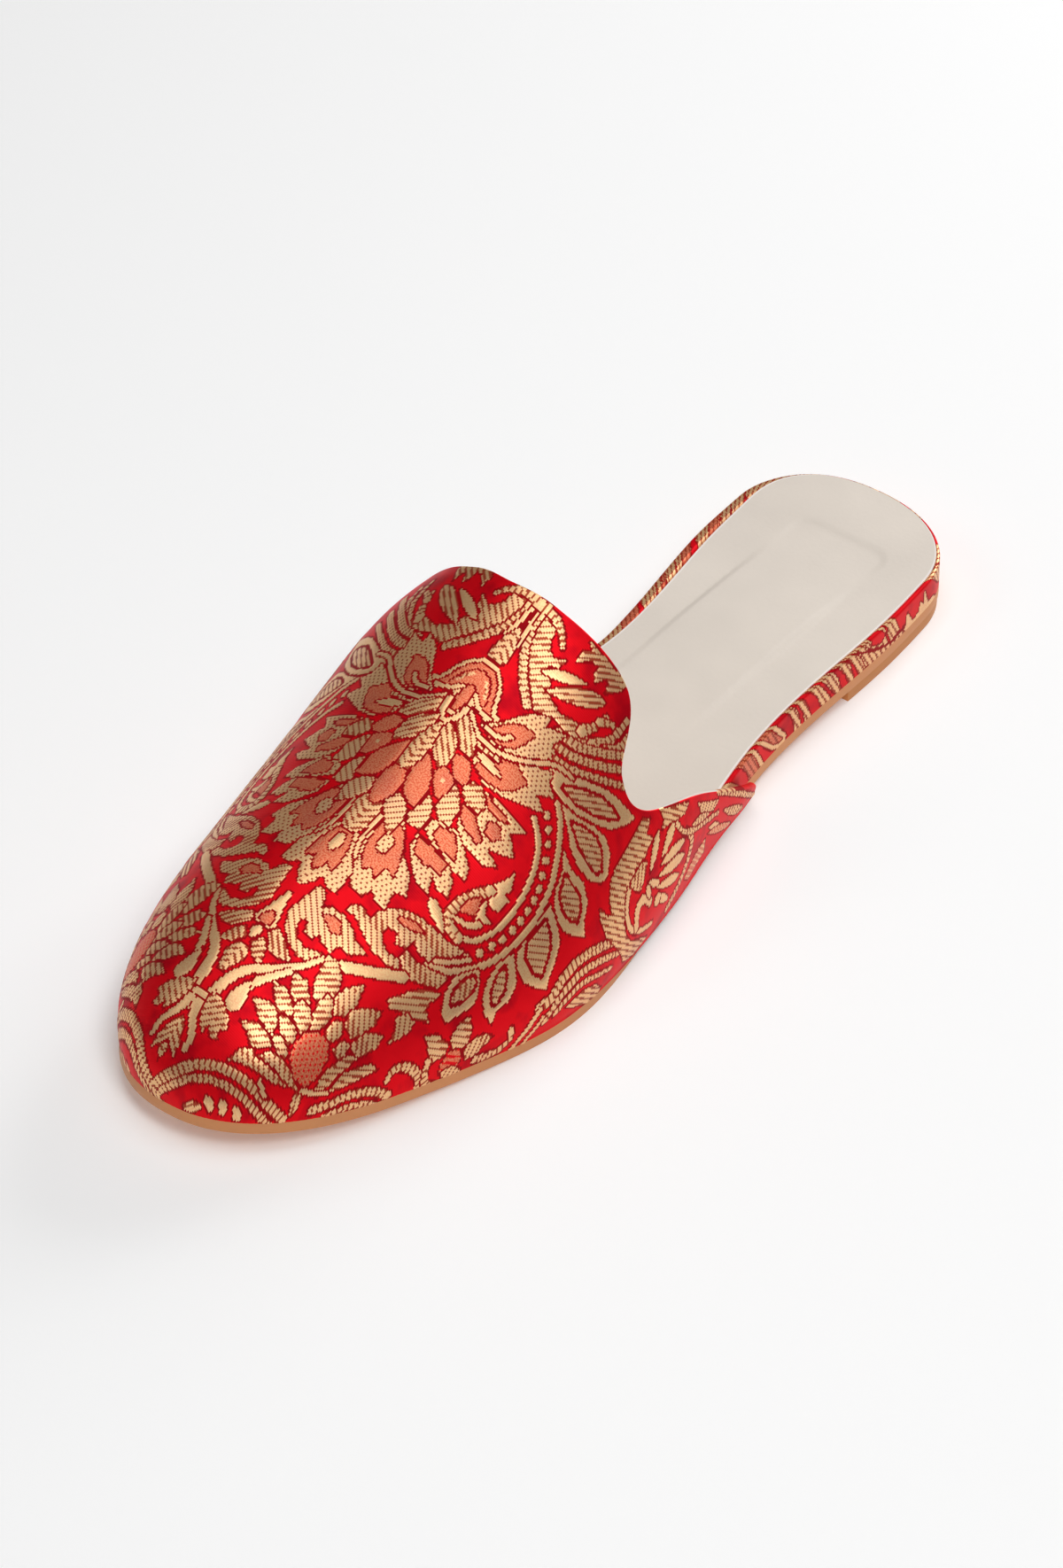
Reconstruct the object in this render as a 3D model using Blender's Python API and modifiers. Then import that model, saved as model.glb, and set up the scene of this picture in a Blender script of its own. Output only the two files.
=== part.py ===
"""Brocade mule: a backless slipper with a hollow fabric vamp on a low flat sole, left foot.

Metres, +Z up. The toe points along -Y and +X is the wearer's left, which is the outer side.
The origin is the middle of the heel's underside, on the floor.
"""

import bmesh
import bpy
import numpy as np

# Driving dimensions: the footbed seen from above
FOOTBED_LENGTH = 0.252
HEEL_WIDTH = 0.054
WAIST_WIDTH = 0.052
BALL_WIDTH = 0.0835
TOE_WIDTH = 0.059  # where the sides would meet the toe line before it is rounded
HEEL_ROUND = 0.022  # length of the rounded end at the heel
TOE_ROUND = 0.050  # length of the rounded end at the toe

# Driving dimensions: the layers from the floor up
HEEL_LENGTH = 0.054
HEEL_LIFT = 0.0032
SOLE_THICKNESS = 0.0027
TOE_SPRING = 0.006
FOOTBED_STACK = 0.0073  # from the outsole's top to the sock's top, under the heel and waist
FOREFOOT_STACK = 0.0040  # the same under the toes
FOREFOOT_INSET = 0.0020  # how far the footbed stays inside the upper's foot there
WRAP_THICKNESS = 0.0010
SOCK_THICKNESS = 0.0009
SOCK_INSET_OUTER = 0.0011  # brocade that shows beside the sock, on the outer side
SOCK_INSET_INNER = 0.0025  # and on the inner side
SOCK_INSET_END = 0.0007  # and round the heel

# Driving dimensions: the upper
UPPER_WALL = 0.0020
INSTEP_HEIGHT = 0.067
TOE_HEIGHT = 0.033
TOE_NOSE = 0.020  # length over which the toe's front rises
SIDE_BULGE = 0.0030
RIDGE_SHIFT = 0.0045  # how far the ridge leans to the inner side

GAP = 0.0003  # between pieces that are glued together in the real shoe
SIDE_GAP = 0.0006  # the same straight across the shoe, where the sides run at a slant
UPPER_FOOT = UPPER_WALL + SIDE_GAP  # from the wrapped footbed's side to the upper's outside

# How square the rounded ends and sections are: 2 is an ellipse, more is squarer
HEEL_FULLNESS = 2.2
TOE_FULLNESS = 2.25
NOSE_FULLNESS = 2.4
SECTION_FULLNESS = 1.75

# The footbed's outline. Columns: along the footbed from the heel, width there, and the centre
# line's shift to the wearer's left as a share of the ball's width
OUTLINE = (
    (0.00, 0.985 * HEEL_WIDTH, -0.040),
    (0.13, 1.000 * HEEL_WIDTH, 0.000),
    (0.36, 1.000 * WAIST_WIDTH, 0.038),
    (0.54, 0.965 * BALL_WIDTH, -0.023),
    (0.70, 1.000 * BALL_WIDTH, 0.005),
    (0.86, 0.810 * BALL_WIDTH, -0.014),
    (1.00, 1.000 * TOE_WIDTH, -0.014),
)

# The upper's ridge. Columns: along the footbed, height above the outsole
RIDGE = (
    (0.30, 1.030 * INSTEP_HEIGHT),
    (0.42, 1.005 * INSTEP_HEIGHT),
    (0.50, 1.000 * INSTEP_HEIGHT),
    (0.60, 0.825 * INSTEP_HEIGHT),
    (0.72, 0.650 * INSTEP_HEIGHT),
    (0.86, 1.000 * TOE_HEIGHT),
    (1.00, 0.490 * TOE_HEIGHT),
)

# The throat's edge on one side, from the tongue's peak to the end of the wing. Columns: along
# the footbed, and the angle round the section in degrees, 90 at the ridge and 0 at the sole
THROAT = (
    (0.527, 90.0),
    (0.521, 71.8),
    (0.516, 46.4),
    (0.564, 36.8),
    (0.558, 27.2),
    (0.476, 15.9),
    (0.384, 1.4),
)

# How the strips of cloth fan out from the notch beside the tongue. Columns: along the upper's
# foot from the wing's end to the toe, and along the throat's edge from the wing's end to the peak
FAN = (
    (0.00, 0.00),
    (0.30, 0.42),
    (0.42, 0.50),
    (0.58, 0.62),
    (0.80, 0.80),
    (1.00, 1.00),
)
STRAIGHTENS = (0.40, 0.85)  # shares of the foot's edge over which strips turn straight in plan

# Where the layers change, as shares of the footbed's length
LIFT_FALLS = (0.22, 0.58)  # the underside comes down from the heel's lift
SPRING_STARTS = 0.72  # the toe leaves the floor
SPRING_POWER = 1.5
SOLE_WIDENS = (0.50, 0.70)  # the outsole spreads under the upper's foot
STACK_THINS = (0.52, 0.70)
BULGE_FADES = (0.60, 0.95)
BULGE_SCALE = 6.75  # makes the bulge's curve r * (1 - r) ** 2 reach 1, a third of the way up
LEAN_FADES = 0.16  # length before the toe's end over which the ridge comes back to the middle

# Mesh fineness
STATIONS = 44
ACROSS = 6
UPPER_COLUMNS = 60
UPPER_ROWS = 13
CURVE_SAMPLES = 400
WELD = 1e-6

# Colours of the materials, linear
BROCADE_RED = (0.58, 0.015, 0.025)
SOCK_BEIGE = (0.72, 0.63, 0.53)
SOLE_TAN = (0.61, 0.30, 0.13)
HEEL_TAN = (0.55, 0.26, 0.11)
BOARD_GREY = (0.42, 0.38, 0.33)


def ease(share):
    """Runs smoothly from 0 to 1 while share does."""
    t = np.clip(share, 0.0, 1.0)
    return t * t * (3.0 - 2.0 * t)


def between(limits, share):
    """How far share has come from the first limit to the second, eased."""
    return ease((share - limits[0]) / (limits[1] - limits[0]))


def through(table, column, share):
    """A smooth curve through one column of a table, read at share of its first column."""
    at = np.array([row[0] for row in table])
    value = np.array([row[column] for row in table])
    run = np.diff(at)
    rise = np.diff(value) / run
    slope = np.empty_like(value)
    slope[1:-1] = (rise[:-1] * run[1:] + rise[1:] * run[:-1]) / (at[2:] - at[:-2])
    slope[0], slope[-1] = rise[0], rise[-1]
    i = np.clip(np.searchsorted(at, share) - 1, 0, len(run) - 1)
    t = np.clip((share - at[i]) / run[i], 0.0, 1.0)
    return (
        value[i] * (1 + 2 * t) * (1 - t) ** 2
        + slope[i] * run[i] * t * (1 - t) ** 2
        + value[i + 1] * (3 - 2 * t) * t**2
        + slope[i + 1] * run[i] * t**2 * (t - 1)
    )


def rounded_end(reach, length, fullness):
    """Share of the full size at reach from a rounded end of that length."""
    r = np.clip(reach / length, 0.0, 1.0)
    return (1.0 - (1.0 - r) ** fullness) ** (1.0 / fullness)


def half_width(s, margin):
    """Half the width at s metres from the heel, for an outline that margin moves outwards."""
    sides = through(OUTLINE, 1, s / FOOTBED_LENGTH) / 2 + margin
    heel = rounded_end(s + margin, HEEL_ROUND + margin, HEEL_FULLNESS)
    toe = rounded_end(FOOTBED_LENGTH + margin - s, TOE_ROUND + margin, TOE_FULLNESS)
    return sides * heel * toe


def centre(s):
    """Place of the centre line across the shoe."""
    return through(OUTLINE, 2, s / FOOTBED_LENGTH) * BALL_WIDTH


def to_y(s):
    """Row coordinate of a station s metres from the heel's back."""
    return HEEL_LENGTH / 2 - s


def to_station(y):
    """Station of a row coordinate."""
    return HEEL_LENGTH / 2 - y


def sole_underside(s):
    """Height of the outsole's underside: heel seat, waist, flat tread and toe spring."""
    share = s / FOOTBED_LENGTH
    lift = HEEL_LIFT * (1.0 - between(LIFT_FALLS, share))
    spring = np.clip((share - SPRING_STARTS) / (1.0 - SPRING_STARTS), 0.0, None)
    return lift + TOE_SPRING * spring**SPRING_POWER


def sole_top(s):
    return sole_underside(s) + SOLE_THICKNESS


def sock_top(s):
    thinned = between(STACK_THINS, s / FOOTBED_LENGTH)
    return sole_top(s) + FOOTBED_STACK + (FOREFOOT_STACK - FOOTBED_STACK) * thinned


def core_top(s):
    """Top of the footbed and of its wrap, under the sock."""
    return sock_top(s) - SOCK_THICKNESS - GAP


def sole_margin(s, side):
    """The outsole is flush with the wrapped footbed at the heel and with the upper in front."""
    return UPPER_FOOT * between(SOLE_WIDENS, s / FOOTBED_LENGTH)


def wrap_margin(s, side):
    return -FOREFOOT_INSET * between(SOLE_WIDENS, s / FOOTBED_LENGTH)


def core_margin(s, side):
    return wrap_margin(s, side) - WRAP_THICKNESS - SIDE_GAP


def heel_margin(s, side):
    return -GAP


def sock_margin(s, side):
    """The sock shows more of the wrap on the inner side than on the outer one."""
    along_side = np.where(side > 0, SOCK_INSET_OUTER, SOCK_INSET_INNER)
    near_end = np.minimum(s / HEEL_ROUND, (FOOTBED_LENGTH - s) / TOE_ROUND)
    inset = SOCK_INSET_END + (along_side - SOCK_INSET_END) * ease(near_end)
    return wrap_margin(s, side) - inset


def new_collection(name):
    collection = bpy.data.collections.new(name)
    bpy.context.scene.collection.children.link(collection)
    return collection


def new_material(name, colour, roughness):
    """A Principled material of one colour."""
    material = bpy.data.materials.new(name)
    material.use_nodes = True
    shader = material.node_tree.nodes["Principled BSDF"]
    shader.inputs["Base Color"].default_value = (*colour, 1.0)
    shader.inputs["Roughness"].default_value = roughness
    shader.inputs["Metallic"].default_value = 0.0
    return material


def placed_grid(columns, rows, place):
    """A grid whose vertices are moved by place(u, v), with u and v from 0 to 1."""
    bm = bmesh.new()
    bmesh.ops.create_grid(bm, x_segments=columns, y_segments=rows, size=0.5)
    unit = np.array([(v.co.x + 0.5, v.co.y + 0.5) for v in bm.verts])
    points = place(unit[:, 0], unit[:, 1])
    for vertex, point in zip(bm.verts, points):
        vertex.co = point
    bmesh.ops.remove_doubles(bm, verts=bm.verts[:], dist=WELD)
    return bm


def finished(bm, name, material, collection):
    """An object of the mesh, smooth except at its sharp edges."""
    bmesh.ops.recalc_face_normals(bm, faces=bm.faces[:])
    mesh = bpy.data.meshes.new(name)
    bm.to_mesh(mesh)
    bm.free()
    mesh.shade_smooth()
    mesh.set_sharp_from_angle(angle=np.radians(35.0))
    mesh.materials.append(material)
    piece = bpy.data.objects.new(name, mesh)
    collection.objects.link(piece)
    return piece


def slab(name, margin, underside, top, material, collection, front=None):
    """A layer of the sole: its outline in plan, lofted from underside(s) to top(s).

    front is the station of a straight cut across, where the layer has one."""
    back = -margin(0.0, 1.0)
    tip = FOOTBED_LENGTH + margin(FOOTBED_LENGTH, 1.0)
    reach = tip - back if front is None else front - back
    turn = np.pi if front is None else np.pi / 2

    def place(u, v):
        s = back + reach * (1.0 - np.cos(turn * v)) / (1.0 - np.cos(turn))
        left = half_width(s, margin(s, 1.0))
        right = half_width(s, margin(s, -1.0))
        x = centre(s) - right + (left + right) * u
        return np.stack([x, to_y(s), underside(s)], axis=1)

    bm = placed_grid(ACROSS, STATIONS, place)
    lower = bm.faces[:]
    raised = bmesh.ops.extrude_face_region(bm, geom=lower, use_keep_orig=True)
    for vertex in raised["geom"]:
        if isinstance(vertex, bmesh.types.BMVert):
            vertex.co.z = float(top(to_station(vertex.co.y)))
    return finished(bm, name, material, collection)


def wrap_ring(name, material, collection):
    """The strip of brocade round the footbed's edge, as one wall."""

    def place(u, v):
        turn = 2.0 * np.pi * u
        side = np.where(np.sin(turn) >= 0.0, 1.0, -1.0)
        back = -wrap_margin(0.0, 1.0)
        tip = FOOTBED_LENGTH + wrap_margin(FOOTBED_LENGTH, 1.0)
        s = back + (tip - back) * (1.0 - np.cos(turn)) / 2
        x = centre(s) + side * half_width(s, wrap_margin(s, side))
        low = sole_top(s) + GAP
        return np.stack([x, to_y(s), low + (core_top(s) - low) * v], axis=1)

    bm = placed_grid(2 * STATIONS, 1, place)
    ring = finished(bm, name, material, collection)
    add_wall(ring, WRAP_THICKNESS)
    return ring


def add_wall(piece, thickness):
    """Gives an open surface a wall on its inner side."""
    wall = piece.modifiers.new("wall", "SOLIDIFY")
    wall.thickness = thickness
    wall.offset = -1.0
    wall.use_even_offset = True


def section_angle(q):
    """Angle round the section of a point at share q of the half width."""
    return np.arccos(np.clip(np.abs(q), 0.0, 1.0) ** (SECTION_FULLNESS / 2))


def section_share(angle):
    """Share of the half width at an angle round the section."""
    return np.cos(angle) ** (2 / SECTION_FULLNESS)


def plan_of(side, s, angle):
    """Plan point at an angle round the section of station s."""
    return centre(s) + side * section_share(angle) * half_width(s, UPPER_FOOT)


def upper_surface(x, s):
    """Puts points of the upper's plan on its outer surface."""
    toe_end = FOOTBED_LENGTH + UPPER_FOOT
    share = s / FOOTBED_LENGTH
    width = np.maximum(half_width(s, UPPER_FOOT), WELD)
    q = np.clip((x - centre(s)) / width, -1.0, 1.0)
    rise = np.sin(section_angle(q))
    nose = rounded_end(toe_end - s, TOE_NOSE, NOSE_FULLNESS)
    height = np.maximum(through(RIDGE, 1, share) * nose - SIDE_GAP, 0.0)
    bulge = SIDE_BULGE * (1.0 - between(BULGE_FADES, share))
    swell = np.sign(q) * BULGE_SCALE * rise * (1.0 - rise) ** 2
    lean = RIDGE_SHIFT * rounded_end(toe_end - s, LEAN_FADES * FOOTBED_LENGTH, 2.0)
    out = x + bulge * swell - lean * rise
    up = sole_top(s) + SIDE_GAP + height * rise
    return np.stack([out, to_y(s), up], axis=1)


def along_curve(points, place, share):
    """Points of a polyline at shares of the length that it has once place() has put it."""
    placed = place(points[:, 0], points[:, 1])
    steps = np.linalg.norm(np.diff(placed, axis=0), axis=1)
    length = np.concatenate([[0.0], np.cumsum(steps)])
    at = share * length[-1]
    return np.stack([np.interp(at, length, column) for column in points.T], axis=1)


def throat_curve(side):
    """The throat's edge in plan with its section angle, from the wing's end to the peak."""
    past_peak = (THROAT[1][0], 180.0 - THROAT[1][1])
    rows = [(i, *row) for i, row in enumerate((*reversed(THROAT), past_peak))]
    t = np.linspace(0.0, len(THROAT) - 1, CURVE_SAMPLES)
    s = through(rows, 1, t) * FOOTBED_LENGTH
    angle = np.radians(np.clip(through(rows, 2, t), 0.0, 90.0))
    return np.stack([plan_of(side, s, angle), s, angle], axis=1)


def foot_curve(side):
    """The upper's foot on the sole in plan, from the wing's end to the toe's tip."""
    start = THROAT[-1][0] * FOOTBED_LENGTH
    turn = np.linspace(0.0, np.pi / 2, CURVE_SAMPLES)
    s = start + (FOOTBED_LENGTH + UPPER_FOOT - start) * np.sin(turn)
    return np.stack([plan_of(side, s, 0.0), s], axis=1)


def make_upper(material, collection):
    """The vamp: strips of cloth from the foot's edge up to the throat's, with a real wall.

    On the sides a strip climbs the sections evenly. Over the toe it runs straight in plan."""

    def place(u, v):
        points = np.zeros((len(u), 3))
        for side, half in ((1.0, u <= 0.5), (-1.0, u > 0.5)):
            share = 1.0 - np.abs(2.0 * u[half] - 1.0)
            climb = v[half]
            foot = along_curve(foot_curve(side), upper_surface, share)
            throat = along_curve(throat_curve(side), upper_surface, through(FAN, 1, share))
            angle = throat[:, 2]
            s = foot[:, 1] + (throat[:, 1] - foot[:, 1]) * climb
            x = plan_of(side, s, angle * climb)
            step = (1.0 - section_share(angle * climb)) / (1.0 - section_share(angle))
            straight = foot + (throat[:, :2] - foot) * step[:, None]
            over_toe = between(STRAIGHTENS, share)
            x += (straight[:, 0] - x) * over_toe
            s += (straight[:, 1] - s) * over_toe
            points[half] = upper_surface(x, s)
        return points

    bm = placed_grid(UPPER_COLUMNS, UPPER_ROWS, place)
    upper = finished(bm, "upper", material, collection)
    if upper.data.polygons[0].normal.x < 0:
        upper.data.flip_normals()
    add_wall(upper, UPPER_WALL)
    return upper


def main():
    for old in list(bpy.data.objects):
        bpy.data.objects.remove(old)
    mule = new_collection("brocade_mule")
    brocade = new_material("brocade", BROCADE_RED, 0.55)
    sock_cover = new_material("sock_cover", SOCK_BEIGE, 0.65)
    sole_leather = new_material("sole_leather", SOLE_TAN, 0.6)
    heel_leather = new_material("heel_leather", HEEL_TAN, 0.6)
    board = new_material("board", BOARD_GREY, 0.9)

    slab("heel", heel_margin, lambda s: 0.0 * s, lambda s: sole_underside(s) - GAP,
         heel_leather, mule, front=HEEL_LENGTH)
    slab("outsole", sole_margin, sole_underside, sole_top, sole_leather, mule)
    slab("footbed", core_margin, lambda s: sole_top(s) + GAP, core_top, board, mule)
    wrap_ring("footbed_wrap", brocade, mule)
    slab("sock", sock_margin, lambda s: core_top(s) + GAP, sock_top, sock_cover, mule)
    make_upper(brocade, mule)


main()
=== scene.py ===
# %% [markdown]
# This notebook dresses the solids of a backless slipper, a brocade mule, until they look like the
# real shoe. The solids come from CAD and say where everything is. Each step first tells what the
# piece is on the real shoe, how it could be made, and why it is made this way here. All sizes are
# in metres, with the toe along -Y and the wearer's left along +X. The flat cloth alone is measured
# in millimetres, as a weaver would.

import bpy
import numpy as np
from mathutils import Matrix, Vector


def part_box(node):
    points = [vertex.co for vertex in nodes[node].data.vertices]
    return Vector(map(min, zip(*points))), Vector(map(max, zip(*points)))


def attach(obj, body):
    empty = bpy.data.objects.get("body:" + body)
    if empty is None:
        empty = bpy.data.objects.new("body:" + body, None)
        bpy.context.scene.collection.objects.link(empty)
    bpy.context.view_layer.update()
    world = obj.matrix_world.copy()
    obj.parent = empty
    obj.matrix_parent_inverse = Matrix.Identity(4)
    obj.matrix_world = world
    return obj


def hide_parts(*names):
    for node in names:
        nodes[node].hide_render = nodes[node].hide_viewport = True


MM = 0.001
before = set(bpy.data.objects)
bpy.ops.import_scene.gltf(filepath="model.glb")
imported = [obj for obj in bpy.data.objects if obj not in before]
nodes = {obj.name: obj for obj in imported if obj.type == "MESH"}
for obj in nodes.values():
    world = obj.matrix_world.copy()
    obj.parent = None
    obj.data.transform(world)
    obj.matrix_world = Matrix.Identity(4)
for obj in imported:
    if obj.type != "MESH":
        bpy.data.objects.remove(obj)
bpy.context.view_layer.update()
for name in sorted(nodes):
    low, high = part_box(name)
    print(name, "is", [round(x / MM, 1) for x in high - low], "mm")

# %% [markdown]
# A shoemaker builds every piece round a last, a wooden foot that carries the shoe's lines. The
# pieces below need the same lines as the solids, so the last is written down once more: the
# outline seen from above, the layers of the sole, and the sections of the vamp. Reading the lines
# off the CAD mesh would give its facets, while these curves stay smooth at any fineness.

# %% The last: sizes
LENGTH = 0.252
HEEL_LENGTH = 0.054
HEEL_ROUND, HEEL_FULLNESS = 0.022, 2.2
TOE_ROUND, TOE_FULLNESS = 0.050, 2.25
HEEL_LIFT, SOLE_THICKNESS, TOE_SPRING = 0.0032, 0.0027, 0.006
HEEL_STACK, TOE_STACK = 0.0073, 0.0040  # from the outsole's top to the sock's top
SOCK_THICKNESS, WRAP_INSET, GAP = 0.0009, 0.0020, 0.0003
WALL, SIDE_GAP = 0.0020, 0.0006
UPPER_FOOT = WALL + SIDE_GAP
TOE_END = LENGTH + UPPER_FOOT
BARE_OUTER, BARE_INNER, BARE_ENDS = 0.0011, 0.0025, 0.0007  # brocade left bare beside the sock
NOSE_ROUND, NOSE_FULLNESS = 0.020, 2.4  # how the vamp's ridge comes down at the toe
SIDE_BULGE, RIDGE_LEAN = 0.0030, 0.0045
SECTION_FULLNESS = 1.75  # the vamp's cross-section; 2 would be an ellipse

# Columns: share of the length from the heel, width there, and the centre line's place
OUTLINE = (
    (0.00, 0.05319, -0.00334),
    (0.13, 0.05400, 0.00000),
    (0.36, 0.05200, 0.00317),
    (0.54, 0.08058, -0.00192),
    (0.70, 0.08350, 0.00042),
    (0.86, 0.06764, -0.00117),
    (1.00, 0.05900, -0.00117),
)

# Columns: share of the length, height of the vamp's ridge above the outsole
RIDGE = ((0.30, 0.06901), (0.42, 0.06734), (0.50, 0.06700), (0.60, 0.05528), (0.72, 0.04355),
         (0.86, 0.03300), (1.00, 0.01617))

# The throat's edge. Columns: share of the length, angle round the section, 90 at the ridge
THROAT = ((0.384, 1.4), (0.476, 15.9), (0.558, 27.2), (0.564, 36.8), (0.516, 46.4), (0.521, 71.8),
          (0.527, 90.0), (0.521, 108.2))


# %% The last: curves seen from above
def ease(share):
    """Runs smoothly from 0 to 1 while share does."""
    t = np.clip(share, 0.0, 1.0)
    return t * t * (3.0 - 2.0 * t)


def through(table, column, at):
    """A smooth curve through one column of a table, read at a value of its first column."""
    known = np.array([row[0] for row in table])
    value = np.array([row[column] for row in table])
    run = np.diff(known)
    rise = np.diff(value) / run
    slope = np.empty_like(value)
    slope[1:-1] = (rise[:-1] * run[1:] + rise[1:] * run[:-1]) / (known[2:] - known[:-2])
    slope[0], slope[-1] = rise[0], rise[-1]
    i = np.clip(np.searchsorted(known, at) - 1, 0, len(run) - 1)
    t = np.clip((at - known[i]) / run[i], 0.0, 1.0)
    return (
        value[i] * (1 + 2 * t) * (1 - t) ** 2
        + slope[i] * run[i] * t * (1 - t) ** 2
        + value[i + 1] * (3 - 2 * t) * t**2
        + slope[i + 1] * run[i] * t**2 * (t - 1)
    )


def rounded_end(reach, length, fullness):
    """Share of the full size at reach from a rounded end of that length."""
    r = np.clip(reach / length, 0.0, 1.0)
    return (1.0 - (1.0 - r) ** fullness) ** (1.0 / fullness)


def half_width(s, margin):
    """Half the width at s from the heel, for an outline that margin moves outwards."""
    sides = through(OUTLINE, 1, s / LENGTH) / 2 + margin
    heel = rounded_end(s + margin, HEEL_ROUND + margin, HEEL_FULLNESS)
    toe = rounded_end(LENGTH + margin - s, TOE_ROUND + margin, TOE_FULLNESS)
    return sides * heel * toe


def centre(s):
    return through(OUTLINE, 2, s / LENGTH)


def forefoot(s):
    """Runs from 0 to 1 where the outsole spreads under the vamp's foot."""
    return ease((s / LENGTH - 0.50) / 0.20)


# %% The last: heights of the layers
def sole_underside(s):
    share = s / LENGTH
    lift = HEEL_LIFT * (1.0 - ease((share - 0.22) / 0.36))
    return lift + TOE_SPRING * np.clip((share - 0.72) / 0.28, 0.0, None) ** 1.5


def sole_top(s):
    return sole_underside(s) + SOLE_THICKNESS


def sock_top(s):
    thinned = ease((s / LENGTH - 0.52) / 0.18)
    return sole_top(s) + HEEL_STACK + (TOE_STACK - HEEL_STACK) * thinned


def wrap_margin(s):
    return -WRAP_INSET * forefoot(s)


def sock_margin(s, side):
    """The sock leaves more brocade bare on the inner side than on the outer one."""
    along_side = np.where(side > 0, BARE_OUTER, BARE_INNER)
    near_end = np.minimum(s / HEEL_ROUND, (LENGTH - s) / TOE_ROUND)
    return wrap_margin(s) - BARE_ENDS - (along_side - BARE_ENDS) * ease(near_end)


print("sock's top under the heel:", round(float(sock_top(0.02)) / MM, 2), "mm above the floor")


# %% The last: the vamp's surface
def upper_surface(q, s):
    """The vamp's outside at share q of its half width, from -1 on the inner side to 1."""
    share = s / LENGTH
    width = half_width(s, UPPER_FOOT)
    angle = np.arccos(np.clip(np.abs(q), 0.0, 1.0) ** (SECTION_FULLNESS / 2))
    rise = np.sin(angle)
    nose = rounded_end(TOE_END - s, NOSE_ROUND, NOSE_FULLNESS)
    height = np.maximum(through(RIDGE, 1, share) * nose - SIDE_GAP, 0.0)
    bulge = SIDE_BULGE * (1.0 - ease((share - 0.60) / 0.35))
    swell = np.sign(q) * 27 / 4 * rise * (1.0 - rise) ** 2  # 1 where it is greatest
    lean = RIDGE_LEAN * rounded_end(TOE_END - s, 0.16 * LENGTH, 2.0)
    across = centre(s) + q * width + bulge * swell - lean * rise
    up = sole_top(s) + SIDE_GAP + height * rise
    return np.stack([across, HEEL_LENGTH / 2 - s, up], axis=-1)


def share_at(angle):
    """Share of the half width at an angle round the section."""
    return np.cos(angle) ** (2 / SECTION_FULLNESS)


# %% [markdown]
# The vamp is one piece of flat cloth, pulled over the last. A photograph of the flowers could be
# laid on it as a picture, but the design here has to be woven from its own squares, so the cloth
# needs its own measure. Every point gets two numbers: how far along the ridge it lies, and how far
# round the section from the ridge. Both are measured on the last with a tape, so a square of the
# flat cloth stays nearly square on the shoe, and the flowers are neither stretched nor squeezed.

# %% Measuring the cloth along the ridge and round each section
STEEP_END = 0.004  # the ridge's last stretch, where it drops steeply
stations = np.concatenate([
    np.linspace(0.30 * LENGTH, TOE_END - STEEP_END, 3000),
    TOE_END - STEEP_END * np.linspace(1.0, 0.0, 3000)[1:] ** 3,
])
ridge = upper_surface(0.0 * stations, stations)
ridge_tape = np.concatenate([[0.0], np.cumsum(np.linalg.norm(np.diff(ridge, axis=0), axis=1))]) / MM
CLOTH_END = ridge_tape[-1]
TAPE_ROWS = np.linspace(15.0, CLOTH_END, 900)
TAPE_SHARES = np.linspace(0.0, 1.0, 241)


def round_sections(side, samples=400):
    """For each row, the mm round to the sole, and which share of the width lies where."""
    s = np.interp(TAPE_ROWS, ridge_tape, stations)
    s[-1] = TOE_END - 1e-7
    angle = np.radians(90.0 * (1.0 - np.linspace(0.0, 1.0, samples)) ** 1.5)
    share = share_at(angle)
    points = upper_surface(*np.broadcast_arrays(side * share, s[:, None]))
    steps = np.linalg.norm(np.diff(points, axis=1), axis=2) / MM
    tape = np.concatenate([np.zeros((len(s), 1)), np.cumsum(steps, axis=1)], axis=1)
    shares = [np.interp(TAPE_SHARES * row[-1], row, share) for row in tape]
    return tape[:, -1], np.array(shares)


SECTIONS = {1.0: round_sections(1.0), -1.0: round_sections(-1.0)}
print("the cloth is", round(CLOTH_END, 1), "mm long down the ridge, and up to",
      round(sum(SECTIONS[side][0].max() for side in (1.0, -1.0)), 1), "mm wide")


# %% Putting points of the flat cloth on the last
def reach_of(across, along):
    """How far the cloth goes round to the sole, on the side of each point."""
    left = np.interp(along, TAPE_ROWS, SECTIONS[1.0][0])
    right = np.interp(along, TAPE_ROWS, SECTIONS[-1.0][0])
    return np.where(across >= 0.0, left, right)


TUCK = 0.65  # mm of cloth that goes on down to the sole, past the section's end

# Places where the soft cloth leaves the last. Columns: across and along the cloth, how far each
# spreads both ways, and how far it stands out, all in mm
SOFT_FORMS = (
    (-34.0, 66.0, 20.0, 16.0, 1.5),
    (78.0, 26.0, 8.0, 8.0, 0.7),
    (82.0, 48.0, 9.0, 13.0, -1.0),
)


def on_last(across, along):
    """Puts points of the flat cloth, in mm across and along it, on the vamp's outside."""
    reach = np.maximum(reach_of(across, along), 1e-6)
    row = np.clip((along - TAPE_ROWS[0]) / (TAPE_ROWS[1] - TAPE_ROWS[0]), 0, len(TAPE_ROWS) - 1.001)
    column = np.abs(across) / reach * (len(TAPE_SHARES) - 1)
    column = np.clip(column, 0, len(TAPE_SHARES) - 1.001)
    i, j = row.astype(int), column.astype(int)
    t, u = row - i, column - j
    q = np.zeros(np.shape(across))
    for side in (1.0, -1.0):
        shares = SECTIONS[side][1]
        read = ((1 - t) * ((1 - u) * shares[i, j] + u * shares[i, j + 1])
                + t * ((1 - u) * shares[i + 1, j] + u * shares[i + 1, j + 1]))
        q = np.where((across >= 0.0) == (side > 0.0), side * read, q)
    points = upper_surface(q, np.minimum(np.interp(along, ridge_tape, stations), TOE_END - 1e-7))
    points[..., 2] -= np.clip(np.abs(across) - reach, 0.0, TUCK) * MM
    return points


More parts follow.
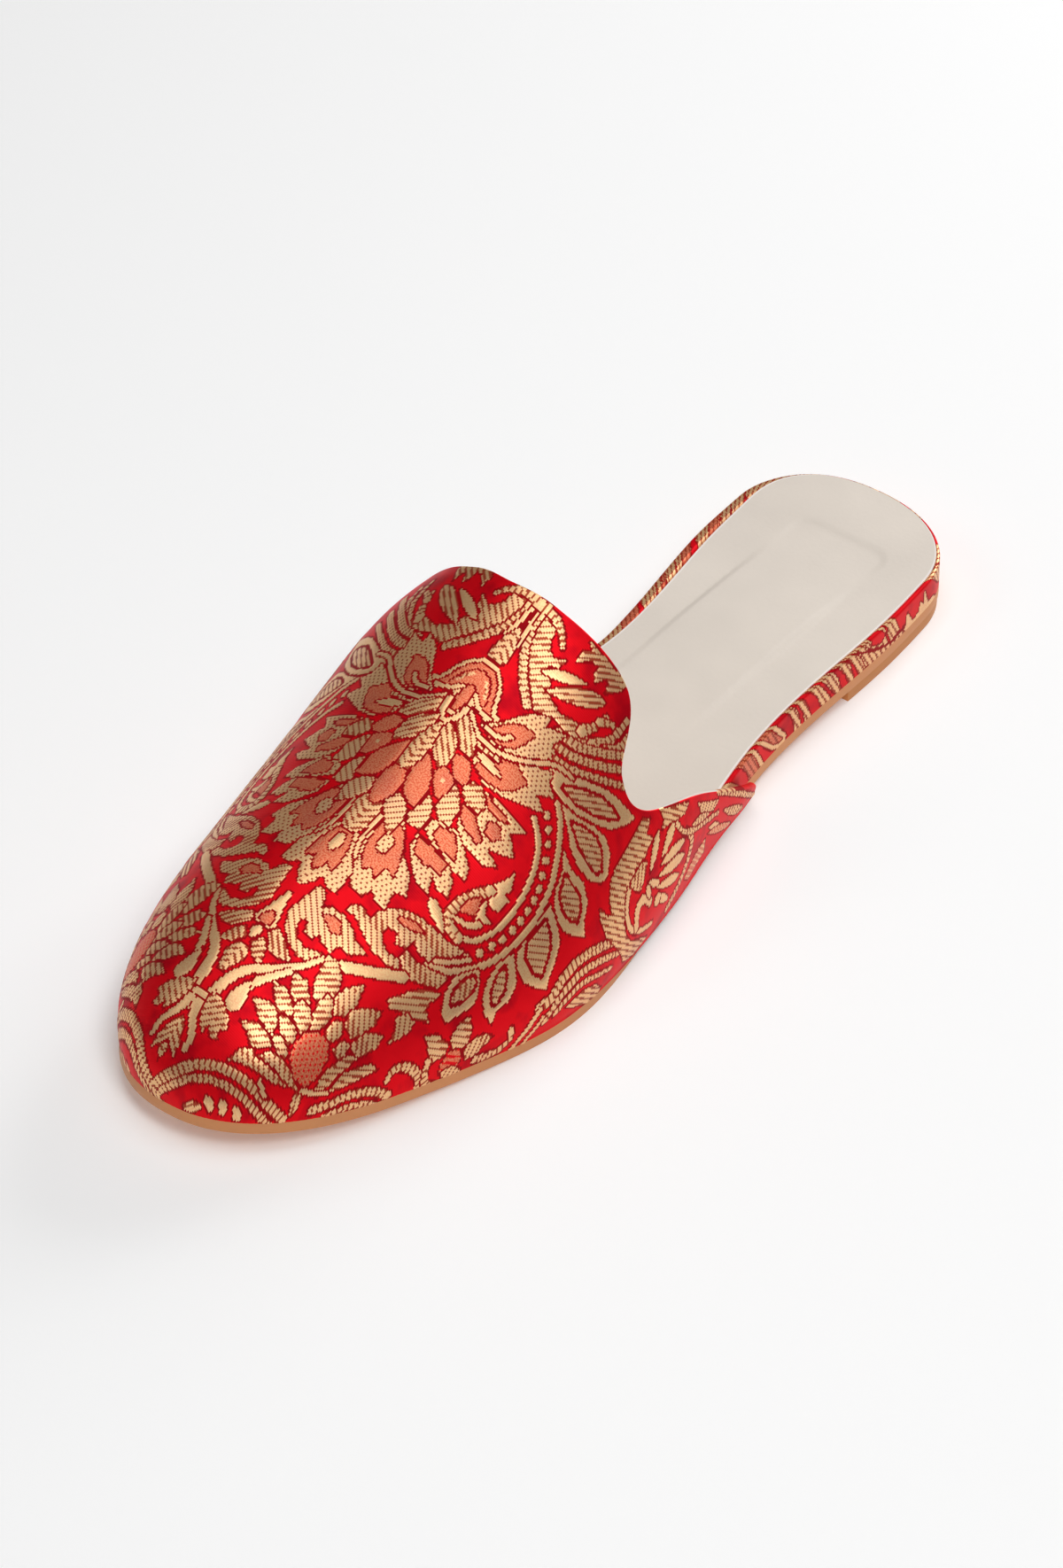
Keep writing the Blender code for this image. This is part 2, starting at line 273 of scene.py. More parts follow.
def outward(across, along):
    """Directions straight out of the last's surface. The tucked edge takes those just above it."""
    step = 0.2
    above = np.maximum(reach_of(across, along) - step, 0.0)
    spot = np.clip(across, -above, above)
    sides = on_last(spot + step, along) - on_last(spot - step, along)
    down = on_last(spot, along + step) - on_last(spot, along - step)
    normal = np.cross(down, sides)
    return normal / np.maximum(np.linalg.norm(normal, axis=-1, keepdims=True), 1e-12)


def softness(across, along):
    """How many mm the cloth stands out from the last."""
    total = 0.0 * across
    for middle, down, wide, deep, height in SOFT_FORMS:
        total += height * np.exp(-(((across - middle) / wide) ** 2) - ((along - down) / deep) ** 2)
    return total


# %% The throat's edge on the flat cloth
def throat_on_cloth(side, samples=400):
    """The edge from the wing's end up to the tongue's middle, in mm across and along."""
    rows = [(i, share, angle) for i, (share, angle) in enumerate(THROAT)]
    t = np.linspace(0.0, len(THROAT) - 2.0, samples)
    s = through(rows, 1, t) * LENGTH
    angle = np.radians(np.clip(through(rows, 2, t), 0.0, 90.0))
    along = np.interp(s, stations, ridge_tape)
    turn = np.pi / 2 - (np.pi / 2 - angle[:, None]) * np.linspace(0.0, 1.0, 300)
    points = upper_surface(side * share_at(turn), np.broadcast_to(s[:, None], turn.shape))
    across = side * np.linalg.norm(np.diff(points, axis=1), axis=2).sum(axis=1) / MM
    return np.stack([across, along], axis=1)


THROAT_EDGE = np.concatenate([throat_on_cloth(1.0), throat_on_cloth(-1.0)[-2::-1]])
throat_tape = np.linalg.norm(np.diff(on_last(*THROAT_EDGE.T), axis=0), axis=1).sum()
print("the throat's edge is", round(float(throat_tape) / MM), "mm long, wing to wing")

# %% [markdown]
# The flowers come next. On the loom a brocade is a chart of small squares, and each square says
# which yarn lies on top there. The chart is drawn here the same way: every motif is an outline in
# millimetres on the flat cloth, and it paints the squares that lie inside it. The design is
# symmetric, so only one half is drawn, and each square is looked up by its distance from the
# middle line. Painting squares by outlines keeps the stepped edges of real
# weaving, which a smooth printed picture would not have.

# %% The yarns and how a motif is painted
GROUND, GOLD, ROSE, BROWN, DARK = YARNS = range(5)
SQUARE = 0.45  # mm, one square of the chart and one cell of the cloth's mesh
LINE_PITCH = 4 * SQUARE  # from one line of a hatched motif to the next
LINE_WIDTH = 1.4 * SQUARE

# Where the design's middle line runs. Columns: along the cloth and across it, in mm
MIDDLE_LINE = (
    (20, 10.0), (55, 9.2), (65, 8.5), (75, 7.3), (85, 6.0), (95, 4.5), (105, 3.4), (115, 3.3),
    (125, 3.9), (140, 5.0), (150, 5.1), (160, 4.4), (170, 2.8), (180, 1.0), (190, -1.5), (200, -3.5),
)


def middle_line(along):
    """The cloth lies a little askew on the shoe, so the design's middle line wanders."""
    return np.interp(along, [row[0] for row in MIDDLE_LINE], [row[1] for row in MIDDLE_LINE])


def segments_near(points, closed, across, along):
    """Distance of squares to a line of points, and how far along the line the nearest spot is."""
    ends = np.roll(points, -1, axis=0) if closed else points[1:]
    starts = points if closed else points[:-1]
    nearest = np.full(across.shape, np.inf)
    travelled = np.zeros(across.shape)
    before = 0.0
    for (x0, y0), (x1, y1) in zip(starts, ends):
        length = max(np.hypot(x1 - x0, y1 - y0), 1e-9)
        share = ((across - x0) * (x1 - x0) + (along - y0) * (y1 - y0)) / length**2
        share = np.clip(share, 0.0, 1.0)
        gap = np.hypot(across - x0 - share * (x1 - x0), along - y0 - share * (y1 - y0))
        closer = gap < nearest
        nearest[closer] = gap[closer]
        travelled[closer] = before + share[closer] * length
        before += length
    return nearest, travelled / before, before


def inside(points, across, along):
    """Which squares have their middle inside an outline."""
    odd = np.zeros(across.shape, bool)
    for (x0, y0), (x1, y1) in zip(points, np.roll(points, -1, axis=0)):
        crosses = (y0 > along) != (y1 > along)
        if y0 != y1:
            odd ^= crosses & (across < x0 + (along - y0) * (x1 - x0) / (y1 - y0))
    return odd


# Which way the lines of a hatched motif run. Each style: weights of across and along
HATCHES = {"rise": (1, 1), "fall": (1, -1), "steep": (1, -0.6), "vees": (0.8, 1), "arrows": (-0.8, 1)}


def lines_of(style, across, along, travelled_mm=0.0):
    """Squares of a motif that show a line or a dot instead of its main yarn."""
    if style in HATCHES:
        by_across, by_along = HATCHES[style]
        return (by_across * across + by_along * along) % LINE_PITCH < LINE_WIDTH
    if style == "ticks":
        return (travelled_mm > SQUARE) & (travelled_mm % (3 * SQUARE) < SQUARE)
    if style == "dots":
        row = np.floor(along / (2 * SQUARE))
        shifted = (across + 1.5 * SQUARE * (row % 2)) % (3 * SQUARE)
        return (along % (2 * SQUARE) < SQUARE) & (shifted < SQUARE)
    return np.zeros(across.shape, bool)


class Chart:
    """The design on the squares of the flat cloth, mirrored about its middle line."""

    def __init__(self, across, along, middle=middle_line):
        self.middle = middle
        self.across = np.abs(across - middle(along))
        self.along = along
        self.yarn = np.full(along.shape, GROUND)
        self.inner_side = across < middle(along)
        self.free = np.full(along.shape, True)

    def from_middle(self, points):
        """Points across and along the cloth, the first value made a distance from the middle."""
        points = np.array(points, float)
        points[:, 0] -= self.middle(points[:, 1])
        return points

    def near(self, points, reach):
        """Numbers of the squares within reach of some points, and their places."""
        low = points.min(axis=0) - reach
        high = points.max(axis=0) + reach
        squares = np.flatnonzero((self.across > low[0]) & (self.across < high[0])
                                 & (self.along > low[1]) & (self.along < high[1]) & self.free)
        return squares, self.across[squares], self.along[squares]

    def lay(self, squares, motif, rim, yarn, lines, line_yarn):
        """Weaves a motif's dark rim, its main yarn and the lines on it into the squares."""
        self.yarn[squares[rim & ~motif]] = DARK
        self.yarn[squares[motif]] = yarn
        self.yarn[squares[motif & lines]] = line_yarn

    def patch(self, yarn, style, *points, rim=0.42, line_yarn=BROWN):
        """A motif with an outline of straight runs, edged by a dark thread."""
        outline = self.from_middle(points)
        squares, across, along = self.near(outline, 1.0)
        motif = inside(outline, across, along)
        edge = segments_near(outline, True, across, along)[0] < rim
        self.lay(squares, motif, edge, yarn, lines_of(style, across, along), line_yarn)

    def band(self, yarn, style, start_width, end_width, *points, rim=0.42, line_yarn=BROWN):
        """A stem, strap or feather along a line of points, changing evenly in width."""
        path = smooth_line(self.from_middle(points))
        squares, across, along = self.near(path, 3.0)
        gap, share, length = segments_near(path, False, across, along)
        half = (start_width + (end_width - start_width) * share) / 2
        lines = lines_of(style, across, along, share * length) & (share < 1.0)
        self.lay(squares, gap < half, gap < half + rim, yarn, lines, line_yarn)

    def leaf(self, yarn, style, width, base, tip, belly=0.45, rim=0.42, line_yarn=BROWN):
        """A leaf that is pointed at its tip, rounder at its base and widest at its belly."""
        (x0, y0), (x1, y1) = self.from_middle((base, tip))
        squares, across, along = self.near(np.array([(x0, y0), (x1, y1)]), width)
        length = np.hypot(x1 - x0, y1 - y0)
        share = ((across - x0) * (x1 - x0) + (along - y0) * (y1 - y0)) / length**2
        off = np.abs((across - x0) * (y1 - y0) - (along - y0) * (x1 - x0)) / length
        s = np.clip(share, 0.0, 1.0)
        bulge = (s / belly) ** (belly * 1.6) * ((1.0 - s) / (1.0 - belly)) ** ((1.0 - belly) * 1.6)
        half = width / 2 * bulge
        motif = (off < half) & (share > 0.0) & (share < 1.0)
        edge = (off < half + rim) & (share * length > -rim) & ((share - 1.0) * length < rim)
        lines = lines_of(style, across, along, share * length)
        self.lay(squares, motif, edge, yarn, lines, line_yarn)

    def oval(self, yarn, style, middle, wide, tall, rim=0.42, line_yarn=BROWN):
        """A dot, bud or flower heart."""
        (x0, y0), = self.from_middle((middle,))
        squares, across, along = self.near(np.array([(x0, y0)]), max(wide, tall) + 1.0)
        away = np.hypot((across - x0) / wide, (along - y0) / tall)
        edge = np.hypot((across - x0) / (wide + rim), (along - y0) / (tall + rim)) < 1.0
        self.lay(squares, away < 1.0, edge, yarn, lines_of(style, across, along), line_yarn)


def smooth_line(points, per_run=6):
    """A smooth curve through a few points."""
    if len(points) < 3:
        return points
    padded = np.concatenate([[2 * points[0] - points[1]], points, [2 * points[-1] - points[-2]]])
    run = [points[:1]]
    for a, b, c, d in zip(padded, padded[1:], padded[2:], padded[3:]):
        t = np.linspace(0.0, 1.0, per_run + 1)[1:, None]
        run.append(0.5 * (2 * b + (c - a) * t + (2 * a - 5 * b + 4 * c - d) * t**2
                          + (3 * b - a - 3 * c + d) * t**3))
    return np.concatenate(run)


# %% [markdown]
# Each function below draws one part of the design, from the tongue's edge down to the toe and
# then out to the wing. A point is its place across and along the flat cloth in millimetres, read
# on the wearer's left half. A motif's numbers could come from tracing software, but outlines set
# motif by motif leave out the photograph's light and blur. What is drawn later lies on top.

# %% The fountain of leaves at the tongue's edge
def draw_fountain(chart):
    chart.patch(GOLD, "rise", (22.3, 55.7), (35, 54.4), (34.3, 57), (32, 60.4), (31.2, 58.2), (30.2, 57.8),
                (28.6, 61), (27.5, 59.8), (27.3, 57.8), (25.5, 58.2), (22.7, 61.2), (22.3, 58.8),
                (24, 56.8))
    chart.patch(GOLD, "rise", (11, 59.6), (15, 60), (15.3, 62.5), (16.6, 64.3), (18.2, 65), (20.7, 63),
                (20.2, 65.5), (17.5, 67.2), (20, 68.8), (22, 71.8), (26, 72.6), (31, 70.3), (36, 71.5),
                (30, 74.3), (25, 74.4), (20.6, 76.6), (15.8, 72), (12.6, 67.5))
    chart.leaf(GOLD, "plain", 2.2, (17.5, 69), (27.4, 62.8))
    chart.leaf(GOLD, "rise", 3.6, (20.5, 71.5), (33.3, 61.8), belly=0.6)
    chart.band(GOLD, "ticks", 2.4, 1.0, (32, 71), (34, 68), (34.8, 65.4), (35.4, 63.5))
    chart.band(GOLD, "ticks", 1.8, 1.2, (34.5, 66), (36.2, 64.4), (37.6, 63.4))
    chart.band(GOLD, "ticks", 2.2, 1.2, (35.5, 71), (38.6, 67), (39.6, 63), (39.7, 59.6))
    chart.band(GOLD, "ticks", 1.8, 1.2, (38.5, 69.5), (41.5, 65.5), (42.2, 61))
    chart.band(GOLD, "ticks", 1.9, 1.6, (27.5, 76), (33, 74.2), (38, 70.6), (43.5, 65.6), (46, 63))
    chart.band(GOLD, "ticks", 1.9, 1.6, (28, 78.6), (33.5, 76.6), (39, 73), (46, 67))
    chart.band(GOLD, "ticks", 1.5, 1.3, (28.5, 81), (34, 79.2), (40, 75.4), (48, 69.4))
    chart.band(GOLD, "ticks", 1.5, 2.0, (10.5, 59.8), (10.8, 65), (12.3, 69.3), (15.2, 73.8), (18.6, 76.9))
    chart.band(GOLD, "plain", 0.9, 0.9, (9.6, 60), (9.7, 64), (9.9, 68.5), rim=0.4)
    chart.band(DARK, "plain", 0.5, 0.5, (9.0, 60), (8.9, 65.5), rim=0.0)
    chart.band(GOLD, "ticks", 2.5, 1.1, (8.7, 58.3), (13, 58.2), (16.2, 59.5), (18.3, 61.6))
    chart.patch(GOLD, "arrows", (6.5, 65.3), (8.8, 65.5), (9.6, 68), (9.9, 73), (9, 74.5), (5.5, 74.6))


# %% The bud under the fountain and the side buds
def draw_buds(chart):
    chart.patch(GOLD, "plain", (5, 75), (9.3, 75.5), (11.3, 77.2), (12.6, 79.5), (13.2, 82), (14, 83.8),
                (15.4, 84.1), (14.8, 85.3), (12.8, 86.4), (10.3, 86.2), (8.4, 85.5), (7.9, 88), (5.6, 90.2),
                (3, 90))
    chart.patch(ROSE, "plain", (5, 76.2), (9.1, 76.8), (10.7, 78.5), (11.7, 80.8), (12.2, 83.2),
                (13.2, 84.9), (10.5, 84.9), (8, 83.4), (6.5, 82.5), (3, 82), (3, 77), rim=0.45)
    chart.band(DARK, "plain", 0.5, 0.5, (6.8, 77.8), (8.8, 78.5), (10.1, 80.3), (10.7, 82.2), (11.2, 83.9),
               rim=0)
    chart.band(GOLD, "ticks", 0.6, 0.6, (8.4, 79.6), (9.4, 80.8), (10, 82.6), rim=0)
    chart.patch(ROSE, "plain", (3, 80), (7.3, 82.6), (7.1, 86), (5.9, 88.6), (3, 88.8), rim=0.5)
    chart.band(GOLD, "plain", 0.9, 0.9, (8.1, 83.4), (10.4, 85.3), (13.4, 85.4), rim=0.4)
    chart.patch(GOLD, "dots", (12.4, 87.6), (16, 84.2), (18.5, 80.6), (20.6, 77.7), (24.8, 74.8),
                (24.8, 77.4), (29.6, 74.8), (28.2, 79), (29.6, 79.8), (28.6, 82.4), (25.4, 85.3), (21, 88),
                (16.8, 89.2))
    chart.patch(ROSE, "plain", (15.3, 86.4), (18.3, 82.7), (20.8, 81), (23.7, 80.8), (22.6, 84),
                (21.6, 86.2), (19, 88), (15.5, 88.6), rim=0.45)
    chart.band(GOLD, "plain", 1.0, 1.0, (14, 87.5), (17.6, 87), (19.6, 85), rim=0.45)
    chart.patch(GOLD, "dots", (14.6, 91.4), (20, 90), (25.5, 87), (31.6, 83.2), (32.2, 86), (35, 86.8),
                (31, 89.8), (34.6, 91.3), (30, 93.8), (25, 96.3), (20, 97.4), (15.6, 95.4))
    chart.patch(ROSE, "plain", (18.5, 91.4), (24, 88.8), (28, 90), (26.4, 93), (24, 95.5), (19.4, 96.6),
                (16.4, 95.6), rim=0.45)
    chart.leaf(GOLD, "plain", 1.7, (15.2, 93), (22.5, 93.6))
    chart.band(GOLD, "ticks", 0.9, 0.9, (14.2, 91.6), (20, 91), rim=0.45)
    chart.band(GOLD, "plain", 1.0, 0.9, (8.9, 86.8), (12, 89.4), (16, 90.3), (21, 89), (26, 85.8),
               (31, 81.6), (36, 80), rim=0.5)
    chart.patch(GOLD, "fall", (8.4, 87.4), (10.3, 88.8), (13.4, 91), (14.8, 94), (14.4, 95.3), (12, 95.2),
                (9.8, 93.2), (8, 91.2), (7.4, 89.4))
    chart.band(GOLD, "plain", 1.3, 1.2, (8, 87.2), (7.1, 90), (5.2, 92.4), rim=0.45)


# %% The great flower
def draw_great_flower(chart):
    chart.patch(GOLD, "dots", (21, 98.6), (26, 97.6), (34, 97.8), (31, 100.7), (34.8, 103.8), (31.6, 105.9),
                (28.6, 107.2), (33.2, 108.2), (30.4, 110.4), (25, 110.4), (21.4, 108.7), (19.4, 105.6),
                (20, 103))
    chart.patch(ROSE, "plain", (22.5, 98.8), (29.4, 99.4), (27.4, 100.6), (24.4, 100.6), rim=0.45)
    chart.patch(ROSE, "plain", (26.2, 102.4), (28.4, 101.6), (30, 103.4), (28.8, 105), (26.4, 105),
                rim=0.45)
    chart.patch(ROSE, "plain", (19.4, 104), (22.4, 104), (24.8, 105.6), (27.2, 106.8), (26.6, 108),
                (22, 107.4), (20.2, 106), rim=0.45)
    chart.patch(GOLD, "dots", (16.2, 111.2), (19, 110), (22, 109.4), (25.5, 111.2), (28.6, 113.2),
                (29.9, 115.8), (26, 116.1), (19, 115), (16, 113.8))
    chart.patch(ROSE, "plain", (18.6, 111.2), (22, 110.4), (24, 112.3), (25.3, 114.4), (21.5, 114.7),
                (18.4, 113.6), rim=0.45)
    chart.patch(GOLD, "dots", (15.8, 115.8), (25.3, 116), (28, 118), (29.7, 121.2), (26.5, 121.5),
                (23.8, 119.8), (26, 123.9), (23, 124), (19.6, 122), (16.4, 118.8))
    chart.patch(ROSE, "plain", (16.6, 116.4), (20, 115.9), (24.8, 116.4), (25, 119), (22.8, 118.7),
                (21.2, 119.7), (18, 119.2), rim=0.45)
    chart.patch(GOLD, "dots", (8, 118.5), (11.6, 115.6), (13.8, 117.8), (17, 121.8), (20.6, 123.8),
                (23.3, 127.9), (20.8, 128.8), (22, 133.3), (19.3, 133.4), (17, 131.6), (16.8, 134.9),
                (13.5, 134.7), (11, 131.6), (9, 129), (8, 126), (7.8, 122))
    chart.patch(ROSE, "plain", (8.5, 118.9), (10.8, 120.6), (11.7, 116.8), (13.5, 117.8), (15.3, 120),
                (17.3, 123.6), (18.4, 126.7), (16, 125.9), (15.7, 129.6), (13.7, 128.2), (12.5, 129.9),
                (10.4, 127.4), (8.9, 123.6))
    chart.oval(GOLD, "dots", (12.2, 122.3), 1.5, 2.3)
    chart.patch(GOLD, "dots", (2, 124), (7, 124.4), (8.5, 128.5), (11.5, 132), (12.4, 138), (10, 138.2),
                (7.7, 136.6), (7, 139), (5.4, 141.2), (3, 141))
    chart.patch(ROSE, "plain", (2, 125), (5.7, 125.4), (7, 128), (7.9, 131.5), (8.1, 134.6), (6.7, 134),
                (5.9, 133), (5.8, 135.2), (5.1, 136.3), (3, 136), rim=0.45)
    chart.oval(GOLD, "plain", (4.1, 128.4), 1.2, 2.5)
    chart.patch(GOLD, "vees", (1, 116), (5.6, 115), (6.5, 118), (6.6, 122), (5.7, 124.3), (2, 125.4))
    chart.band(GOLD, "plain", 0.7, 0.7, (7.3, 117.5), (7.3, 121.5), (7.9, 125.5), (9.6, 129), rim=0.45)
    chart.patch(ROSE, "plain", (11.9, 96.3), (15, 95.9), (16.3, 97.5), (17.5, 100), (16, 101), (14, 100.9),
                (11.8, 98.2))
    chart.patch(GOLD, "rise", (18.2, 98.8), (20.5, 98.3), (22.4, 99.8), (23.3, 101.2), (22.8, 103.2),
                (20, 103.4), (18, 102.4), (17, 101.2))
    chart.patch(ROSE, "plain", (11.1, 100.4), (13.5, 100.9), (15, 101.9), (14.8, 107), (13, 106.7),
                (11, 104.7), (10, 102.4))
    chart.oval(GOLD, "plain", (12.6, 103.2), 0.6, 0.6, rim=0)
    chart.patch(GOLD, "rise", (15.5, 101.9), (17.5, 103.2), (19.2, 105.5), (19.7, 110), (17, 110.2),
                (14.9, 108.6))
    chart.patch(ROSE, "plain", (6.6, 100), (8.4, 101.9), (10.3, 104.4), (11.4, 107.4), (11.4, 111.8),
                (9.5, 111.6), (7, 110.2), (5.8, 107.6), (5.6, 104.5))
    chart.patch(GOLD, "rise", (12, 107.3), (14, 108.6), (15.1, 110.8), (15.4, 115), (12.4, 115.2),
                (11, 113.4), (11.9, 111.5))
    chart.patch(GOLD, "rise", (6.7, 111), (9, 112.2), (10.4, 113.2), (11.3, 115.4), (11, 120.4),
                (8.5, 118.2), (6.3, 116.2), (5.6, 114.2))
    chart.patch(GOLD, "fall", (6.6, 91.6), (9.6, 93.6), (11, 95.6), (11.1, 99.7), (10, 101.4), (8, 100.1),
                (6.2, 98), (5.6, 95))
    chart.patch(GOLD, "vees", (2, 92.8), (5.2, 92.8), (5.6, 95), (6.1, 98.3), (6.0, 101), (5.3, 104),
                (4.9, 106.2), (2, 107.6))
    chart.patch(ROSE, "plain", (1, 107.2), (4.6, 106.3), (6, 108.5), (6, 111.5), (5.1, 114.4), (3.8, 116.3),
                (2, 116.4))


# %% The scrolls that curl round the great flower
def draw_scrolls(chart):
    chart.band(GOLD, "plain", 1.3, 1.2, (36, 87), (39, 89.5), (42, 94), (44.3, 98.5), (45.8, 103),
               (46.8, 108), (47, 113), (46.5, 118.5), (45, 124), (41.5, 130), (36.5, 134.3))
    chart.band(GOLD, "plain", 1.4, 1.0, (33.6, 94), (37, 96.5), (39.5, 100.5), (40.9, 105), (41.8, 110),
               (42, 115), (41.4, 119), (39.8, 122.6), (36.5, 125))
    for middle in ((35.5, 91), (37.6, 93), (39.2, 95.2), (40.9, 98), (42.2, 100.9), (43.3, 103.4),
                   (44, 106), (44.4, 108.6), (44.5, 111.3), (44.5, 114), (44.2, 117), (43.6, 120),
                   (42.7, 122.9), (41.4, 126)):
        chart.oval(GOLD, "plain", middle, 0.75, 0.95, rim=0.45)
    chart.patch(GOLD, "plain", (37, 105.8), (38.8, 109), (38.2, 110.6), (39.8, 111), (39.3, 114.5),
                (36.8, 115), (35.3, 113.8), (35.2, 111), (36.3, 109))
    chart.patch(GOLD, "plain", (36.2, 114.6), (37.7, 117), (40.1, 117.2), (38.4, 119), (36.4, 119.4),
                (35.8, 117))
    chart.band(GOLD, "ticks", 2.0, 2.3, (35.4, 112.5), (33.5, 116), (32.2, 119.5), (32.2, 122.8), (34, 125),
               (37, 125))
    chart.patch(ROSE, "plain", (34.9, 115.2), (35.9, 117.5), (36.3, 119), (33.5, 120.8), (33, 119.4),
                (33.6, 117.2))
    chart.band(GOLD, "plain", 1.4, 0.9, (38.4, 119.4), (36.6, 121.6), (33.9, 122.6))
    chart.leaf(GOLD, "plain", 2.4, (27.2, 124), (34.5, 127), belly=0.35)
    chart.patch(GOLD, "fall", (25, 130.3), (28.5, 128.6), (33, 127.8), (36, 127.4), (40.4, 125.4),
                (39, 128.6), (37, 131), (36.4, 133.2), (33.2, 133.8), (31.1, 132.8), (30.9, 135.3),
                (28.8, 136.4), (27.5, 134.5), (25.4, 135.2), (25, 137), (26.5, 138.7), (29, 139.1),
                (31.6, 138.2), (33, 139.4), (30.5, 141), (26, 141.3), (21.5, 140), (18.8, 138.8),
                (16.6, 139.2), (16.4, 137.8), (18.3, 136.3), (21.4, 137), (21.7, 134.6), (22.8, 132.4))
    chart.patch(ROSE, "plain", (25.8, 131.6), (29, 130), (31.4, 130.1), (29, 131.9), (25.6, 132.6),
                rim=0.45)
    chart.patch(GOLD, "fall", (31.3, 135.6), (34.5, 135.6), (37.4, 134.2), (41.6, 131.8), (42, 134.5),
                (40, 136.3), (36.5, 138.7), (34, 139), (31.4, 137.4))
    chart.band(GOLD, "plain", 0.9, 0.8, (37.3, 131.8), (40, 129), (42.2, 125.6), rim=0.45)
    chart.band(GOLD, "plain", 2.1, 2.1, (35, 139.6), (30, 144), (23.4, 149))
    chart.patch(GOLD, "fall", (8.8, 139.1), (10.6, 139.4), (12, 141.5), (12.2, 142.8), (14, 141),
                (17, 140.6), (20, 141.3), (22.5, 142.8), (25.9, 143), (23.5, 145.7), (20.7, 146),
                (20, 148.4), (17.4, 148.3), (15.9, 147), (15.2, 149), (13.2, 149.2), (12.2, 146.6),
                (10.9, 147.2), (11, 149.2), (12.5, 151), (15.3, 151.8), (19, 149.8), (19.8, 151.5),
                (18, 153.2), (15, 153.9), (11.7, 152.9), (9, 150.6), (7.6, 147.5), (8, 144.5))
    chart.patch(ROSE, "plain", (13.6, 143.6), (15.4, 142.4), (17.6, 142.2), (18.9, 144.2), (17.4, 145.1),
                (15.4, 144.1))


# %% The leaves outside the scroll, each a border with a hatched heart
def draw_outer_leaves(chart):
    for style, border, heart in (
        ("rise",
         ((30, 83), (34, 80.8), (40, 77), (44.5, 74.2), (48, 72.8), (54.2, 71.2), (52.5, 75), (50, 79),
          (46, 82), (41, 84.6), (36, 85.8), (32, 85.2)),
         ((35.2, 83.3), (40, 79.4), (44, 76.8), (47.6, 75.8), (50, 75.6), (48, 78), (44.5, 80.8),
          (39.5, 83.2))),
        ("rise",
         ((37, 86.4), (42, 84.9), (46, 82.7), (50, 81.5), (53, 82.5), (55.2, 86), (55, 88.6), (52, 91.2),
          (48, 92), (44, 91), (41, 88.6)),
         ((41.4, 87), (44.5, 85.1), (48, 83.9), (50.8, 84.6), (53, 87), (52.6, 88.4), (50, 89.1),
          (46, 88.9))),
        ("rise",
         ((42.8, 92.6), (47, 94), (51, 93), (54.5, 94.5), (56.5, 97.7), (58.8, 99.2), (57, 101.3),
          (54.5, 103.3), (51.5, 103.8), (48.5, 102.4), (46.6, 100.2), (45.4, 96)),
         ((46.6, 96), (49, 96.2), (52, 95.9), (54, 97.5), (55, 99.3), (53.4, 100.6), (51, 101.1),
          (48.2, 99.8))),
        ("rise",
         ((47.6, 103.2), (51, 104.2), (54.5, 105.5), (56.8, 109), (58.4, 112.2), (59.9, 113.2),
          (57.5, 115.5), (54.5, 117.5), (51, 117.6), (48.5, 115.6)),
         ((48.8, 106.3), (51.5, 107.2), (53.7, 108.8), (55, 111.3), (56.4, 113.2), (54, 114.6), (51, 114.6),
          (49, 112.4))),
        ("rise",
         ((48, 116.7), (51, 118), (53.5, 119.5), (55.1, 122.5), (54.9, 126), (56.6, 127.6), (53.5, 128.4),
          (50.5, 127.4), (48.3, 124.8), (47.2, 121)),
         ((48.9, 119.9), (50.5, 120.8), (52.3, 122.4), (53.3, 125), (52.8, 125.9), (50.9, 124.9),
          (49.2, 122.4))),
        ("fall",
         ((45.2, 125), (47.4, 126.6), (49.2, 128.3), (50.1, 130), (49.3, 134), (48.6, 137), (46, 136.6),
          (43.6, 133.8), (42.6, 130.5), (43.8, 127.5)),
         ((45.4, 127), (46.6, 127.2), (47.5, 129.2), (47.5, 131.5), (46.3, 134), (45.2, 132.7),
          (44.6, 130))),
    ):
        chart.patch(GOLD, "plain", *border)
        chart.patch(GOLD, style, *heart, rim=0.8)


